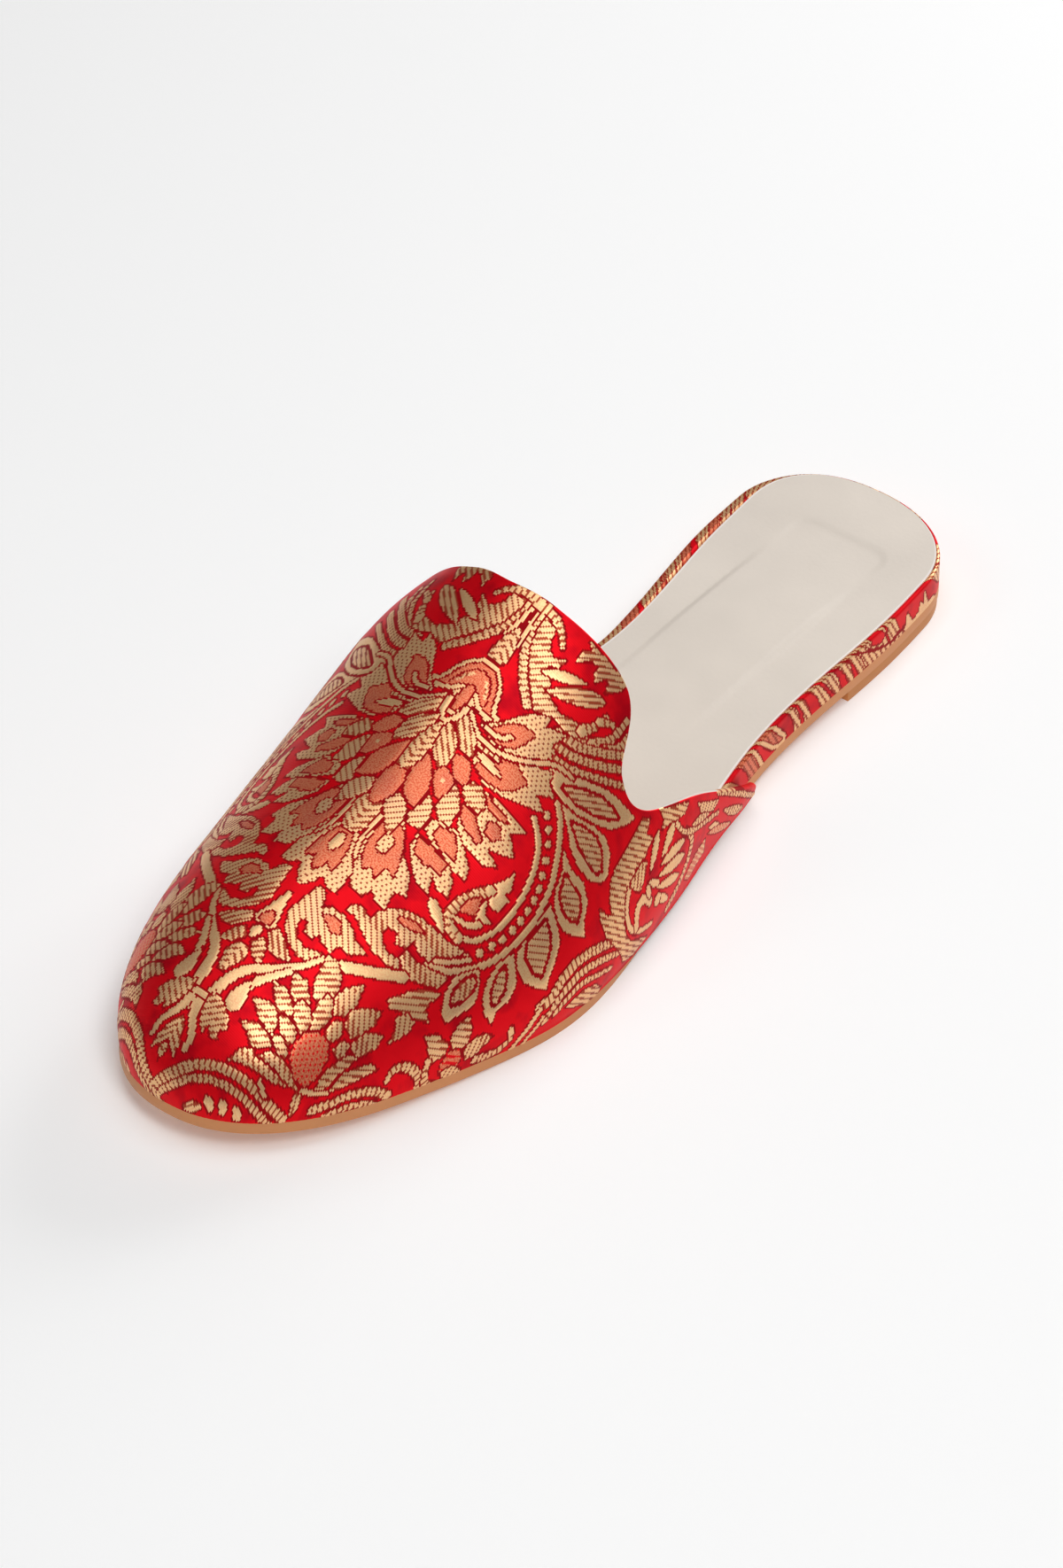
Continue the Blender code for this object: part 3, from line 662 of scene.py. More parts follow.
# %% The Y of stems, its small leaves and the puffs at its foot
def draw_stems(chart):
    chart.patch(GOLD, "plain", (3, 144.2), (5.5, 144.2), (6.1, 147), (6.9, 149.7), (7.5, 152.3),
                (6.6, 153.6), (3, 153.8))
    chart.patch(ROSE, "plain", (3, 150), (5.4, 150), (6.2, 151.2), (6.2, 152.6), (5.5, 153), (3, 153),
                rim=0.45)
    chart.patch(GOLD, "plain", (3, 154.2), (5.3, 154.2), (6.1, 155.2), (4.9, 157.2), (3, 157.2))
    chart.patch(GOLD, "fall", (7.3, 154.2), (8.3, 152), (11.5, 153.7), (14.6, 155.8), (12, 157.3),
                (9.5, 156.9))
    chart.patch(GOLD, "rise", (5.3, 157.8), (7.2, 155.7), (8.8, 157.4), (9.9, 161), (7.3, 160.2))
    chart.patch(GOLD, "arrows", (2, 159.1), (5.9, 159.6), (6.3, 162), (5.4, 164), (4.0, 166.6), (2, 166.6))
    chart.band(GOLD, "plain", 1.0, 2.6, (20, 150.2), (17.2, 155), (13, 159.3), (8.6, 163), (6, 167.5),
               (4.6, 172.8))
    chart.band(GOLD, "plain", 1.2, 2.2, (16, 157.5), (13.5, 161), (11, 164.8), (9.4, 168.5))
    chart.leaf(GOLD, "plain", 3.6, (10.4, 164.5), (9.6, 172.4), belly=0.7)
    chart.patch(GOLD, "plain", (0, 172.4), (3.9, 172.4), (3.9, 175), (3.6, 177.2), (1.7, 177.4), (0, 176))
    chart.patch(GOLD, "rise", (5.2, 171.2), (8, 172), (10.5, 173.8), (11.4, 175.8), (9.9, 176.8),
                (10.2, 178.8), (8.6, 179.3), (7.3, 177.4), (6.6, 179.5), (5.4, 178.3), (4.3, 175.5),
                (4.6, 173))
    chart.band(GOLD, "plain", 2.0, 1.2, (2.9, 175), (3.2, 178), (4.6, 181.6), (4.3, 184.8))
    chart.patch(GOLD, "fall", (0.8, 178.6), (2, 180.6), (2.6, 184.5), (2.1, 187.6), (0.6, 186),
                (-0.6, 183.4), (-1.5, 181))
    chart.patch(GOLD, "vees", (-3, 185.2), (-0.6, 185.2), (0.3, 186.6), (-0.4, 188.2), (-1.8, 190),
                (-3, 190))


# %% The side flower with its many petals
def draw_side_flower(chart):
    for style, *outline in (
        ("rise", (20.2, 149.3), (22.5, 148.6), (25.3, 150.2), (26.7, 153), (26.5, 154.2), (24.9, 154.6),
         (24.4, 157.8), (22.8, 157.4), (21.2, 154.5)),
        ("fall", (28.7, 156.7), (26.9, 154), (27.6, 151), (30, 147.5), (30.8, 149.5), (31.7, 152),
         (31, 155)),
        ("rise", (25.3, 155), (27, 154.9), (29, 158), (28.4, 161), (26.8, 162.5), (25.2, 160.2),
         (24.8, 157.5)),
        ("fall", (32, 156), (31.4, 153), (33.5, 150.3), (36.6, 147.8), (37.2, 150.5), (36.5, 154),
         (35, 156.5)),
        ("fall", (36, 157.2), (37, 153), (40.5, 150.2), (40.8, 153), (39.5, 156.5), (38, 158)),
        ("rise", (16.8, 157), (20, 156.3), (22, 158), (23.6, 159.2), (21.2, 159.5), (20.3, 161.3),
         (18.4, 160.2)),
        ("rise", (21.5, 160), (24, 159.8), (25.8, 161.2), (26.3, 163.5), (25.4, 164.8), (22.5, 163.8),
         (21, 162)),
        ("rise", (14.4, 161.4), (17.5, 160.7), (20.5, 162.3), (21.9, 163.8), (20, 164.5), (18.6, 165.3),
         (16.4, 163.6)),
        ("rise", (19.3, 165.6), (21.5, 164.5), (24.8, 165.2), (25.1, 167), (24.5, 168.4), (21.8, 167.9)),
        ("rise", (12.8, 167), (16, 165.2), (18.3, 165.3), (20.5, 167.8), (20, 169.6), (17, 169.4),
         (15, 168.4)),
        ("rise", (20.4, 169.5), (22.5, 168.4), (25, 168.8), (25.9, 170.3), (23.5, 171.1)),
        ("rise", (13, 172.4), (16, 170.4), (19, 170), (21.6, 171), (20, 173), (17.8, 174.6), (15.5, 173)),
        ("fall", (20.3, 174.5), (22, 172), (25.5, 170.9), (30, 171.4), (33, 171.6), (29, 173), (24, 173.6)),
        ("fall", (14.5, 180), (15.7, 176.8), (18.5, 174.3), (19.5, 175.4), (22, 174.6), (25.5, 174),
         (29.4, 173.4), (26, 175.4), (20, 177.4), (16.8, 178.6)),
        ("fall", (29.5, 160.4), (30, 157), (31.8, 156.2), (33, 158), (32, 160.8)),
        ("fall", (33.4, 161), (34, 158), (36, 157.6), (36.3, 161)),
        ("rise", (37, 158.8), (39, 157.5), (37.8, 163), (37.5, 166.5), (35.5, 168.9), (35, 165),
         (36, 161.5)),
        ("rise", (38.8, 161.5), (40.5, 158.5), (42.5, 155.5), (44.7, 154.5), (43, 158), (41, 162.5),
         (38.5, 166.6)),
    ):
        chart.patch(GOLD, style, *outline)
    chart.patch(ROSE, "dots", (28.5, 161.6), (31.5, 161), (33.6, 163), (34.2, 167), (33.2, 170.4),
                (29.5, 171), (26.5, 169.6), (25.7, 167), (26.2, 164), line_yarn=GROUND)
    chart.band(GOLD, "plain", 0.9, 0.8, (33, 171), (36, 169), (38.6, 166.4))


# %% Leaves and a small flower between the side flower and the sole
def draw_edge_flowers(chart):
    chart.patch(GOLD, "rise", (43.4, 135), (42.8, 138), (43.3, 139.5), (45.8, 140.2), (43.5, 142),
                (41, 143.5), (39, 144.6), (37.5, 145.8), (35.8, 145.4), (37, 143), (38, 140.5), (40, 137.4),
                (41.5, 136.1))
    chart.patch(GOLD, "fall", (41, 143.3), (43.5, 142.9), (44.1, 145.2), (43.4, 147.5), (42.4, 150),
                (41.8, 147.5), (39.9, 145.9))
    chart.patch(GOLD, "rise", (47.6, 142.2), (49.5, 139.5), (53, 138.2), (54.3, 139.5), (54, 142.6),
                (51, 142.7))
    chart.patch(GOLD, "rise", (51, 134), (51.6, 131.6), (54, 132.1), (56.4, 134), (56, 136), (54, 137.7),
                (52, 136.8))
    chart.patch(GOLD, "fall", (57, 135.1), (56.4, 132), (57.5, 129.5), (59.5, 128), (59.7, 130.3),
                (60.4, 133), (59.5, 135.1))
    chart.oval(ROSE, "rise", (57.4, 138.6), 2.4, 2.8, line_yarn=GROUND)
    chart.leaf(GOLD, "fall", 2.6, (58, 141), (62.5, 136.2))
    chart.band(GOLD, "ticks", 1.2, 2.4, (48.4, 153.4), (47.9, 151), (49.6, 148.6), (52.4, 146.8),
               (56, 146.4), (60, 148))
    chart.band(GOLD, "ticks", 1.4, 1.8, (53, 143.6), (55, 144.8), (57.5, 145), (60, 143))
    chart.band(GOLD, "ticks", 1.2, 1.9, (61.4, 123.6), (63.6, 124), (64.3, 126.5), (63.4, 129.6),
               (61.8, 132.6))
    chart.band(GOLD, "ticks", 1.6, 1.6, (52, 153.8), (47.6, 157.2), (43.8, 161.8), (41.4, 166.2),
               (38.6, 170.6))
    chart.band(GOLD, "ticks", 1.2, 1.2, (54, 155), (48.8, 159.3), (45.2, 163.9), (42.6, 168.6))
    chart.patch(GOLD, "fall", (32, 172), (34, 171.2), (35.2, 173.5), (34.9, 175.2), (33, 174.2))


# %% The double arch over the toe and the buds outside it
def draw_toe_arch(chart):
    chart.band(GOLD, "ticks", 2.0, 1.7, (-3.4, 197), (-1, 194.4), (3, 190.4), (7, 186.4), (11, 183.7),
               (16, 181.3), (22, 179.6), (28, 178.4), (34, 176.6))
    chart.band(GOLD, "ticks", 1.4, 1.3, (-2, 198), (1, 195.2), (5, 191), (9.4, 187.4), (14, 184.9),
               (20, 182.7), (26, 181.3), (32, 179.6))
    for middle, wide, tall in (((13.8, 189.2), 1.7, 0.9), ((17.6, 187), 1.5, 1.0), ((22, 185), 1.7, 0.8)):
        chart.oval(GOLD, "plain", middle, wide, tall)
    chart.leaf(GOLD, "rise", 1.8, (12, 191), (6.6, 194.6))
    chart.patch(GOLD, "plain", (22.8, 176.9), (26.8, 178.2), (25, 178.8), (22.8, 178.1), rim=0.45)


# %% The feathers and the curl on the wing
def draw_wing(chart):
    chart.band(GOLD, "ticks", 1.6, 2.4, (69.4, 88.8), (66.4, 93), (63.6, 98), (61.7, 103), (61.3, 108),
               (62.6, 112.6), (62.2, 116))
    chart.band(GOLD, "ticks", 1.3, 1.8, (71.6, 89.8), (68, 95.6), (65.3, 101), (64.2, 106), (64.8, 111),
               (66.6, 115))
    chart.band(GOLD, "ticks", 1.0, 1.4, (73, 93), (70, 98), (67.4, 103), (66.6, 108), (67.4, 112))
    chart.band(GOLD, "plain", 1.3, 1.2, (62.8, 116), (65, 120), (67.6, 124.5))
    chart.band(GOLD, "plain", 1.0, 1.0, (65.4, 115.4), (67.4, 119), (69.5, 122.5))
    chart.patch(GOLD, "rise", (69.4, 103.2), (71.8, 99), (76, 96), (77.5, 98), (74, 103), (71, 106.4),
                (68.6, 109))
    chart.patch(GOLD, "rise", (56.2, 69), (58, 66.8), (59.4, 70), (61.4, 68.4), (62, 73), (61.3, 77),
                (61.5, 80.6), (63.6, 84.2), (66.6, 86.3), (70, 86.5), (73.8, 84.6), (77, 80.6), (81, 76),
                (80.5, 82), (77, 87.4), (72.5, 89.2), (68.2, 91.4), (64.5, 93.2), (60, 93.1), (58.4, 92.2),
                (61.5, 90.8), (62, 89.6), (59.5, 88.6), (57, 86), (56, 82))
    chart.band(GOLD, "plain", 1.3, 1.2, (62.8, 81.8), (64.4, 83.8), (67.4, 85), (70.8, 84.2), (74.4, 80.8),
               (78, 75))
    chart.band(GOLD, "plain", 1.8, 2.0, (72.6, 82.2), (69.6, 81.4), (68.2, 79.3), (69.2, 77), (71.4, 75.4))
    chart.patch(GOLD, "fall", (61.9, 79.4), (62, 75), (63.4, 72.8), (65, 75.4), (66.2, 78.3), (64.6, 79.8),
                (62.6, 81))
    for width, base, tip in ((2.4, (67.4, 67.4), (65.2, 59.4)), (2.2, (68.2, 68.6), (71.6, 57)),
                             (2.4, (69.6, 70.2), (75, 57.6)), (2.2, (71.2, 71.6), (77.8, 61)),
                             (2.2, (66.2, 73), (62, 65.6)), (1.8, (72.4, 73), (79, 66.8)),
                             (1.6, (67, 75), (71, 70.4))):
        chart.leaf(GOLD, "plain", width, base, tip, belly=0.6)
    chart.oval(GOLD, "plain", (74, 72), 1.4, 1.5)
    chart.oval(GOLD, "plain", (68.9, 75.2), 1.7, 0.9)
    chart.band(GOLD, "ticks", 1.8, 2.4, (70.5, 55.6), (74, 53.6), (78, 55.4), (81, 60), (82.5, 66))
    chart.patch(GOLD, "rise", (59.4, 62.6), (62.5, 58), (65.4, 52.6), (66.4, 55), (65.2, 58.6), (64, 61),
                (62.8, 64.4), (61.8, 62.6))
    chart.band(GOLD, "ticks", 1.2, 1.2, (66.2, 58.8), (69.6, 57), (72.6, 52.6), (74.4, 46.8), (75.2, 41))
    chart.patch(GOLD, "fall", (67.8, 49.2), (70, 45), (71.6, 40.4), (73.2, 43), (72.6, 46), (70.8, 48.6))
    chart.leaf(GOLD, "ticks", 1.8, (71.2, 53), (73, 45))
    chart.leaf(GOLD, "plain", 1.8, (77.4, 44.6), (79.4, 39.4))
    chart.patch(ROSE, "rise", (64, 16), (77, 16), (76, 21.4), (73.6, 25), (71, 28), (68, 30.4), (66.6, 26),
                line_yarn=GOLD)
    chart.band(GOLD, "ticks", 1.3, 1.2, (82, 21.6), (77, 28), (73.4, 33.6), (70, 40))
    chart.leaf(GOLD, "ticks", 2.6, (81.4, 28), (76, 38))
    chart.leaf(ROSE, "ticks", 2.2, (83, 33), (79, 45), line_yarn=GOLD)
    chart.patch(ROSE, "rise", (80, 46), (84, 46), (86, 54), (83, 57), (81, 51), line_yarn=GOLD)


# Middle line of the branch low on the inner side. Columns: along the cloth, across from its middle
BRANCH = ((14.0, 91.0), (34.0, 90.0), (54.0, 87.0), (74.0, 81.0), (92.0, 73.0), (108.0, 64.0))


def draw_inner_branch(chart):
    """Fills the ground of the inner side, where the cloth is wider than the rest of the design."""
    chart.free = chart.inner_side & (chart.yarn == GROUND)
    chart.band(GOLD, "ticks", 1.8, 1.3, *((across, along) for along, across in BRANCH))
    for k, along in enumerate(np.arange(22.0, 104.0, 6.5)):
        across = float(through(BRANCH, 1, along))
        chart.leaf(GOLD, "rise", 5.0, (across - 1.5, along), (across - 10.5, along + 5.5))
        chart.leaf(ROSE if k % 2 else GOLD, "fall", 4.0, (across + 1.5, along + 1.5),
                   (across + 6.5, along + 8.0))
        chart.oval(GOLD, "plain", (across - 12.5, along + 1.0), 1.0, 1.0)
    chart.free = np.full(chart.yarn.shape, True)


DRAWN = (draw_wing, draw_toe_arch, draw_edge_flowers, draw_scrolls, draw_outer_leaves, draw_fountain,
         draw_buds, draw_great_flower, draw_stems, draw_side_flower, draw_inner_branch)
print("the design is drawn in", len(DRAWN), "parts")

# %% [markdown]
# The vamp's cloth is a lattice of squares, one face for each square of the chart. A picture on a
# coarse mesh would be quicker, but here every square can carry the number of its yarn, and squares
# where gold or rose yarn floats can stand a tenth of a millimetre proud, as real floats do. A grid
# primitive is the start. The squares in the throat and past the sole are deleted in edit mode, the
# corners along the cut are drawn onto the throat's line, and then the whole cloth goes on the last.

# %% Helpers for grids and cuts
def only(piece):
    """Makes one piece the selected and active one."""
    bpy.ops.object.select_all(action="DESELECT")
    piece.select_set(True)
    bpy.context.view_layer.objects.active = piece


def corners_of(piece):
    spots = np.zeros(3 * len(piece.data.vertices))
    piece.data.vertices.foreach_get("co", spots)
    return spots.reshape(-1, 3)


def move_corners(piece, spots):
    piece.data.vertices.foreach_set("co", np.ascontiguousarray(spots, float).ravel())
    piece.data.update()


def new_grid(name, columns, rows):
    """A grid primitive, and how far each corner lies across it and along it, from 0 to 1."""
    bpy.ops.object.select_all(action="DESELECT")
    bpy.ops.mesh.primitive_grid_add(x_subdivisions=columns, y_subdivisions=rows, size=1.0)
    piece = bpy.context.object
    piece.name = piece.data.name = name
    unit = corners_of(piece) + 0.5
    return piece, unit[:, 0], unit[:, 1]


def faces_of(piece):
    """The corner numbers of a mesh of four-sided faces."""
    numbers = np.zeros(len(piece.data.loops), int)
    piece.data.loops.foreach_get("vertex_index", numbers)
    return numbers.reshape(-1, 4)


def delete_faces(piece, unwanted):
    only(piece)
    mesh = piece.data
    bpy.context.tool_settings.mesh_select_mode = (False, False, True)
    mesh.vertices.foreach_set("select", np.zeros(len(mesh.vertices), bool))
    mesh.edges.foreach_set("select", np.zeros(len(mesh.edges), bool))
    mesh.polygons.foreach_set("select", unwanted)
    bpy.ops.object.mode_set(mode="EDIT")
    bpy.ops.mesh.delete(type="FACE")
    bpy.ops.object.mode_set(mode="OBJECT")


def open_edge_corners(mesh):
    """Numbers of the corners along the mesh's open edges."""
    used = np.zeros(len(mesh.loops), int)
    mesh.loops.foreach_get("edge_index", used)
    single = np.bincount(used, minlength=len(mesh.edges)) == 1
    ends = np.zeros(2 * len(mesh.edges), int)
    mesh.edges.foreach_get("vertices", ends)
    return np.unique(ends.reshape(-1, 2)[single])


def close_up(piece, distance=1e-6):
    """Merges corners that lie on each other and turns all faces outwards."""
    only(piece)
    bpy.ops.object.mode_set(mode="EDIT")
    bpy.ops.mesh.select_all(action="SELECT")
    bpy.ops.mesh.remove_doubles(threshold=distance)
    bpy.ops.mesh.normals_make_consistent(inside=False)
    bpy.ops.object.mode_set(mode="OBJECT")


def area_of(piece):
    areas = np.zeros(len(piece.data.polygons))
    piece.data.polygons.foreach_get("area", areas)
    return float(areas.sum())


# %% Cutting cloth to the vamp's outline
CLOTH_START = float(THROAT_EDGE[:, 1].min())
CLOTH_SIDE = 89.0  # mm from the ridge to the lattice's edge


def nearest_on(line, spots):
    """The nearest points of a line to some spots, and how far off they are."""
    run = np.diff(line, axis=0)
    offset = spots[:, None, :] - line[None, :-1, :]
    share = (offset * run).sum(axis=2) / np.maximum((run**2).sum(axis=1), 1e-12)
    found = line[:-1] + run * np.clip(share, 0.0, 1.0)[..., None]
    gap = np.linalg.norm(found - spots[:, None, :], axis=2)
    best = gap.argmin(axis=1)
    rows = np.arange(len(spots))
    return found[rows, best], gap[rows, best]


def cut_cloth(name, square):
    """A flat lattice of cloth in mm, cut along the throat and a little past the sole."""
    columns = round(2 * CLOTH_SIDE / square)
    lines = round((CLOTH_END - CLOTH_START) / square)
    cloth, u, v = new_grid(name, columns, lines)
    across = CLOTH_SIDE * (2 * u - 1)
    along = CLOTH_START + (CLOTH_END - CLOTH_START) * v
    move_corners(cloth, np.stack([across, along, 0 * v], axis=1))
    squares = np.stack([across, along], axis=1)[faces_of(cloth)]
    past_sole = np.abs(squares[..., 0]) > reach_of(squares[..., 0], squares[..., 1]) + TUCK
    middle = squares.mean(axis=1)
    delete_faces(cloth, past_sole.all(axis=1) | inside(THROAT_EDGE, middle[:, 0], middle[:, 1]))
    return cloth


def draw_to_throat(cloth, square):
    """Moves the corners along the cut onto the throat's line."""
    flat = corners_of(cloth)
    rim = open_edge_corners(cloth.data)
    spots, gap = nearest_on(THROAT_EDGE, flat[rim, :2])
    close = gap < 1.2 * square
    flat[rim[close], :2] = spots[close]
    move_corners(cloth, flat)
    return flat[:, 0], flat[:, 1]


# %% Weaving the chart into a lattice
FLOAT_HEIGHT = np.array([0.0, 0.11, 0.09, 0.07, 0.0]) * MM  # by yarn
UV_SIDE = 200.0  # mm of cloth along one side of the UV square


def weave(piece, yarn, across, along):
    """Gives each face its yarn's number, as a share, and each corner its place on the cloth."""
    numbers = piece.data.attributes.new("yarn", "FLOAT", "FACE")
    numbers.data.foreach_set("value", (yarn + 0.5) / len(YARNS))
    places = piece.data.uv_layers.new(name="cloth")
    flat = np.stack([across / UV_SIDE + 0.5, along / UV_SIDE], axis=1)
    places.data.foreach_set("uv", flat[faces_of(piece).ravel()].astype(np.float32).ravel())


def float_relief(piece, yarn):
    """How far each corner stands proud, as the mean of the faces round it."""
    faces = faces_of(piece)
    total = np.zeros(len(piece.data.vertices))
    count = np.zeros(len(piece.data.vertices))
    for corner in range(4):
        np.add.at(total, faces[:, corner], FLOAT_HEIGHT[yarn])
        np.add.at(count, faces[:, corner], 1.0)
    return total / np.maximum(count, 1.0)


def woven_chart(across, along):
    """The yarn on top at places of the vamp's cloth."""
    chart = Chart(across, along)
    for draw in DRAWN:
        draw(chart)
    return chart.yarn


vamp = cut_cloth("vamp_brocade", SQUARE)
squares = corners_of(vamp)[faces_of(vamp)].mean(axis=1)
yarn = woven_chart(squares[:, 0], squares[:, 1])
across, along = draw_to_throat(vamp, SQUARE)
weave(vamp, yarn, across, along)
relief = float_relief(vamp, yarn) + softness(across, along) * MM
move_corners(vamp, on_last(across, along) + outward(across, along) * relief[:, None])
bpy.ops.object.shade_smooth()
print("vamp:", len(vamp.data.polygons), "squares,", round(area_of(vamp) * 1e4, 1), "square cm")

# %% [markdown]
# Behind the brocade lies a plain pale lining. It is the same cut, a wall's thickness further in.
# A solidify modifier would copy the fine lattice, which nobody needs on the inside, so the lining
# is cut again from larger squares.

# %% The lining
LINING_SQUARE = 1.5
LINING_DEPTH = 0.95 * WALL
lining = cut_cloth("vamp_lining", LINING_SQUARE)
across, along = draw_to_throat(lining, LINING_SQUARE)
inward = outward(across, along) * (softness(across, along) * MM - LINING_DEPTH)[:, None]
move_corners(lining, on_last(across, along) + inward)
bpy.ops.object.shade_smooth()
print("lining:", len(lining.data.polygons), "faces")

# %% [markdown]
# Along the throat the brocade is turned over the edge and meets the lining, so the edge is a soft
# roll and no cut. The roll is a half-round strip that follows the throat's line from one wing's end
# over the tongue to the other. A bevelled curve would be as round, but a strip can
# carry the brocade on its outer part and the pale lining on its inner part. Low on the wings the
# brocade goes on further round the edge.

# %% The rolled edge of the throat
ROLL_SIDES = 10
ROLL_OUT = 0.55  # how far the roll stands out, as a share of its radius
ROLL_LIFT = 0.02  # mm above the brocade, so that the two don't touch
ROLL_ON_CLOTH = 1.6  # mm of the pattern from the roll's outside to its inside
FIRST_TURN, WHOLE_TURN = -25.0, 225.0
WING_TOP = 40.0  # mm along the cloth; the wings' ends lie before it
PALE_FROM, PALE_ON_WINGS = 0.28, 0.9  # share of the roll's way round where the lining begins
wing_end = np.array([[reach_of(*THROAT_EDGE[0]) + TUCK, CLOTH_START]])
other_end = np.array([[-reach_of(*THROAT_EDGE[-1]) - TUCK, CLOTH_START]])
roll_line = np.concatenate([wing_end, THROAT_EDGE, other_end])
roll_tape = np.concatenate([[0.0], np.cumsum(np.linalg.norm(np.diff(roll_line, axis=0), axis=1))])


def along_roll(at):
    """Points of the flat cloth on the roll's line, at distances in mm from the wing's end."""
    return [np.interp(at, roll_tape, column) for column in roll_line.T]


def place_roll(u, v):
    """u runs along the throat and v from the vamp's outside over the edge to its inside."""
    at = u * roll_tape[-1]
    across, along = along_roll(at)
    edge, normal = on_last(across, along), outward(across, along)
    step = 0.4
    run = on_last(*along_roll(at + step)) - on_last(*along_roll(at - step))
    open_side = np.cross(run, normal)
    open_side /= np.linalg.norm(open_side, axis=1, keepdims=True)
    radius = LINING_DEPTH / 2
    turn = np.radians(FIRST_TURN + WHOLE_TURN * v)[:, None]
    lift = (ROLL_LIFT + softness(across, along))[:, None] * MM * normal
    return edge + lift - radius * normal + radius * (
        np.cos(turn) * normal + ROLL_OUT * np.sin(turn) * open_side
    )


roll, u, v = new_grid("throat_roll", round(roll_tape[-1] / 0.9), ROLL_SIDES)
move_corners(roll, place_roll(u, v))
on_cloth = np.stack(along_roll(u * roll_tape[-1]), axis=1)
squares = on_cloth[faces_of(roll)].mean(axis=1)
yarn = woven_chart(squares[:, 0], squares[:, 1])
weave(roll, yarn, on_cloth[:, 0], on_cloth[:, 1] + ROLL_ON_CLOTH * v)
pale_from = np.where(squares[:, 1] > WING_TOP, PALE_FROM, PALE_ON_WINGS)
pale = v[faces_of(roll)].mean(axis=1) > pale_from
roll.data.polygons.foreach_set("material_index", pale.astype(np.int32))
bpy.ops.object.shade_smooth()
print("roll:", len(roll.data.polygons), "faces")

# %% [markdown]
# A strip of the same brocade covers the footbed's edge, all round the shoe. It goes straight up
# from the sole, over a soft edge and in under the sock. An extruded outline would have the wall but
# no soft edge, so it is one closed ring of squares with charts of its own. Both run from the heel's
# middle: one for the outer side, as the photograph shows it, and a plainer one for the inner side.

# %% The ring of brocade round the footbed
RING_WALL_ROWS, RING_EDGE_ROWS, RING_TOP_ROWS = 14, 3, 6
EDGE_RADIUS = 0.6 * MM
BELOW_SOCK = 0.1 * MM  # from the sock's top down to the ring's, beside it
UNDER_SOCK = 0.6 * MM  # how far the ring goes in under the sock
DIP_LENGTH, DIP_CLEAR = 0.4 * MM, 0.1 * MM  # where it goes down to pass under the sock

# Where the covered wall is fuller or flatter on its inner side. Columns: mm from the heel, mm out
RING_SWELL = ((0.0, 0.0), (10.0, -0.5), (20.0, 0.1), (42.0, 0.8), (60.0, 0.6), (72.0, 0.1),
              (84.0, -0.8), (100.0, -0.8), (120.0, 0.0), (250.0, 0.0))


def ring_plan(turn, inset):
    """Plan points of the footbed's outline, moved in. turn is 0 at the heel and goes round."""
    side = np.where(np.sin(turn) >= 0.0, 1.0, -1.0)
    back = -(wrap_margin(0.0) - inset)
    tip = LENGTH + wrap_margin(LENGTH) - inset
    s = back + (tip - back) * (1.0 - np.cos(turn)) / 2
    swell = np.where(side < 0, through(RING_SWELL, 1, s / MM) * MM, 0.0)
    return centre(s) + side * half_width(s, wrap_margin(s) - inset + swell), s


def ring_tape(samples=6000):
    turn = np.linspace(0.0, 2.0 * np.pi, samples)
    x, s = ring_plan(turn, 0.0)
    tape = np.concatenate([[0.0], np.cumsum(np.hypot(np.diff(x), np.diff(s)))])
    return turn, tape / MM


RING_TURN, RING_TAPE = ring_tape()
ring_rows = RING_WALL_ROWS + RING_EDGE_ROWS + RING_TOP_ROWS
ring_columns = round(RING_TAPE[-1] / SQUARE)


def place_ring(u, v):
    """u runs round the footbed and v up the wall, over the edge and in under the sock."""
    turn = np.interp(u * RING_TAPE[-1], RING_TAPE, RING_TURN)
    row = np.rint(v * ring_rows)
    edge = np.clip((row - RING_WALL_ROWS) / RING_EDGE_ROWS, 0.0, 1.0) * np.pi / 2
    top = np.clip((row - RING_WALL_ROWS - RING_EDGE_ROWS) / RING_TOP_ROWS, 0.0, 1.0)
    side = np.where(np.sin(turn) >= 0.0, 1.0, -1.0)
    s = ring_plan(turn, 0.0)[1]
    bare = wrap_margin(s) - sock_margin(s, side)
    inset = EDGE_RADIUS * (1.0 - np.cos(edge)) + (bare + UNDER_SOCK - EDGE_RADIUS) * top
    x, s = ring_plan(turn, inset)
    low = sole_top(s)
    high = sock_top(s) - BELOW_SOCK
    up = np.clip(row / RING_WALL_ROWS, 0.0, 1.0)
    dipped = ease((inset - bare + DIP_CLEAR) / DIP_LENGTH) * (top > 0.0)
    dip = (SOCK_THICKNESS + DIP_CLEAR) * dipped
    z = low + (high - EDGE_RADIUS - low) * up + EDGE_RADIUS * np.sin(edge) - dip
    return np.stack([x, HEEL_LENGTH / 2 - s, z], axis=1)


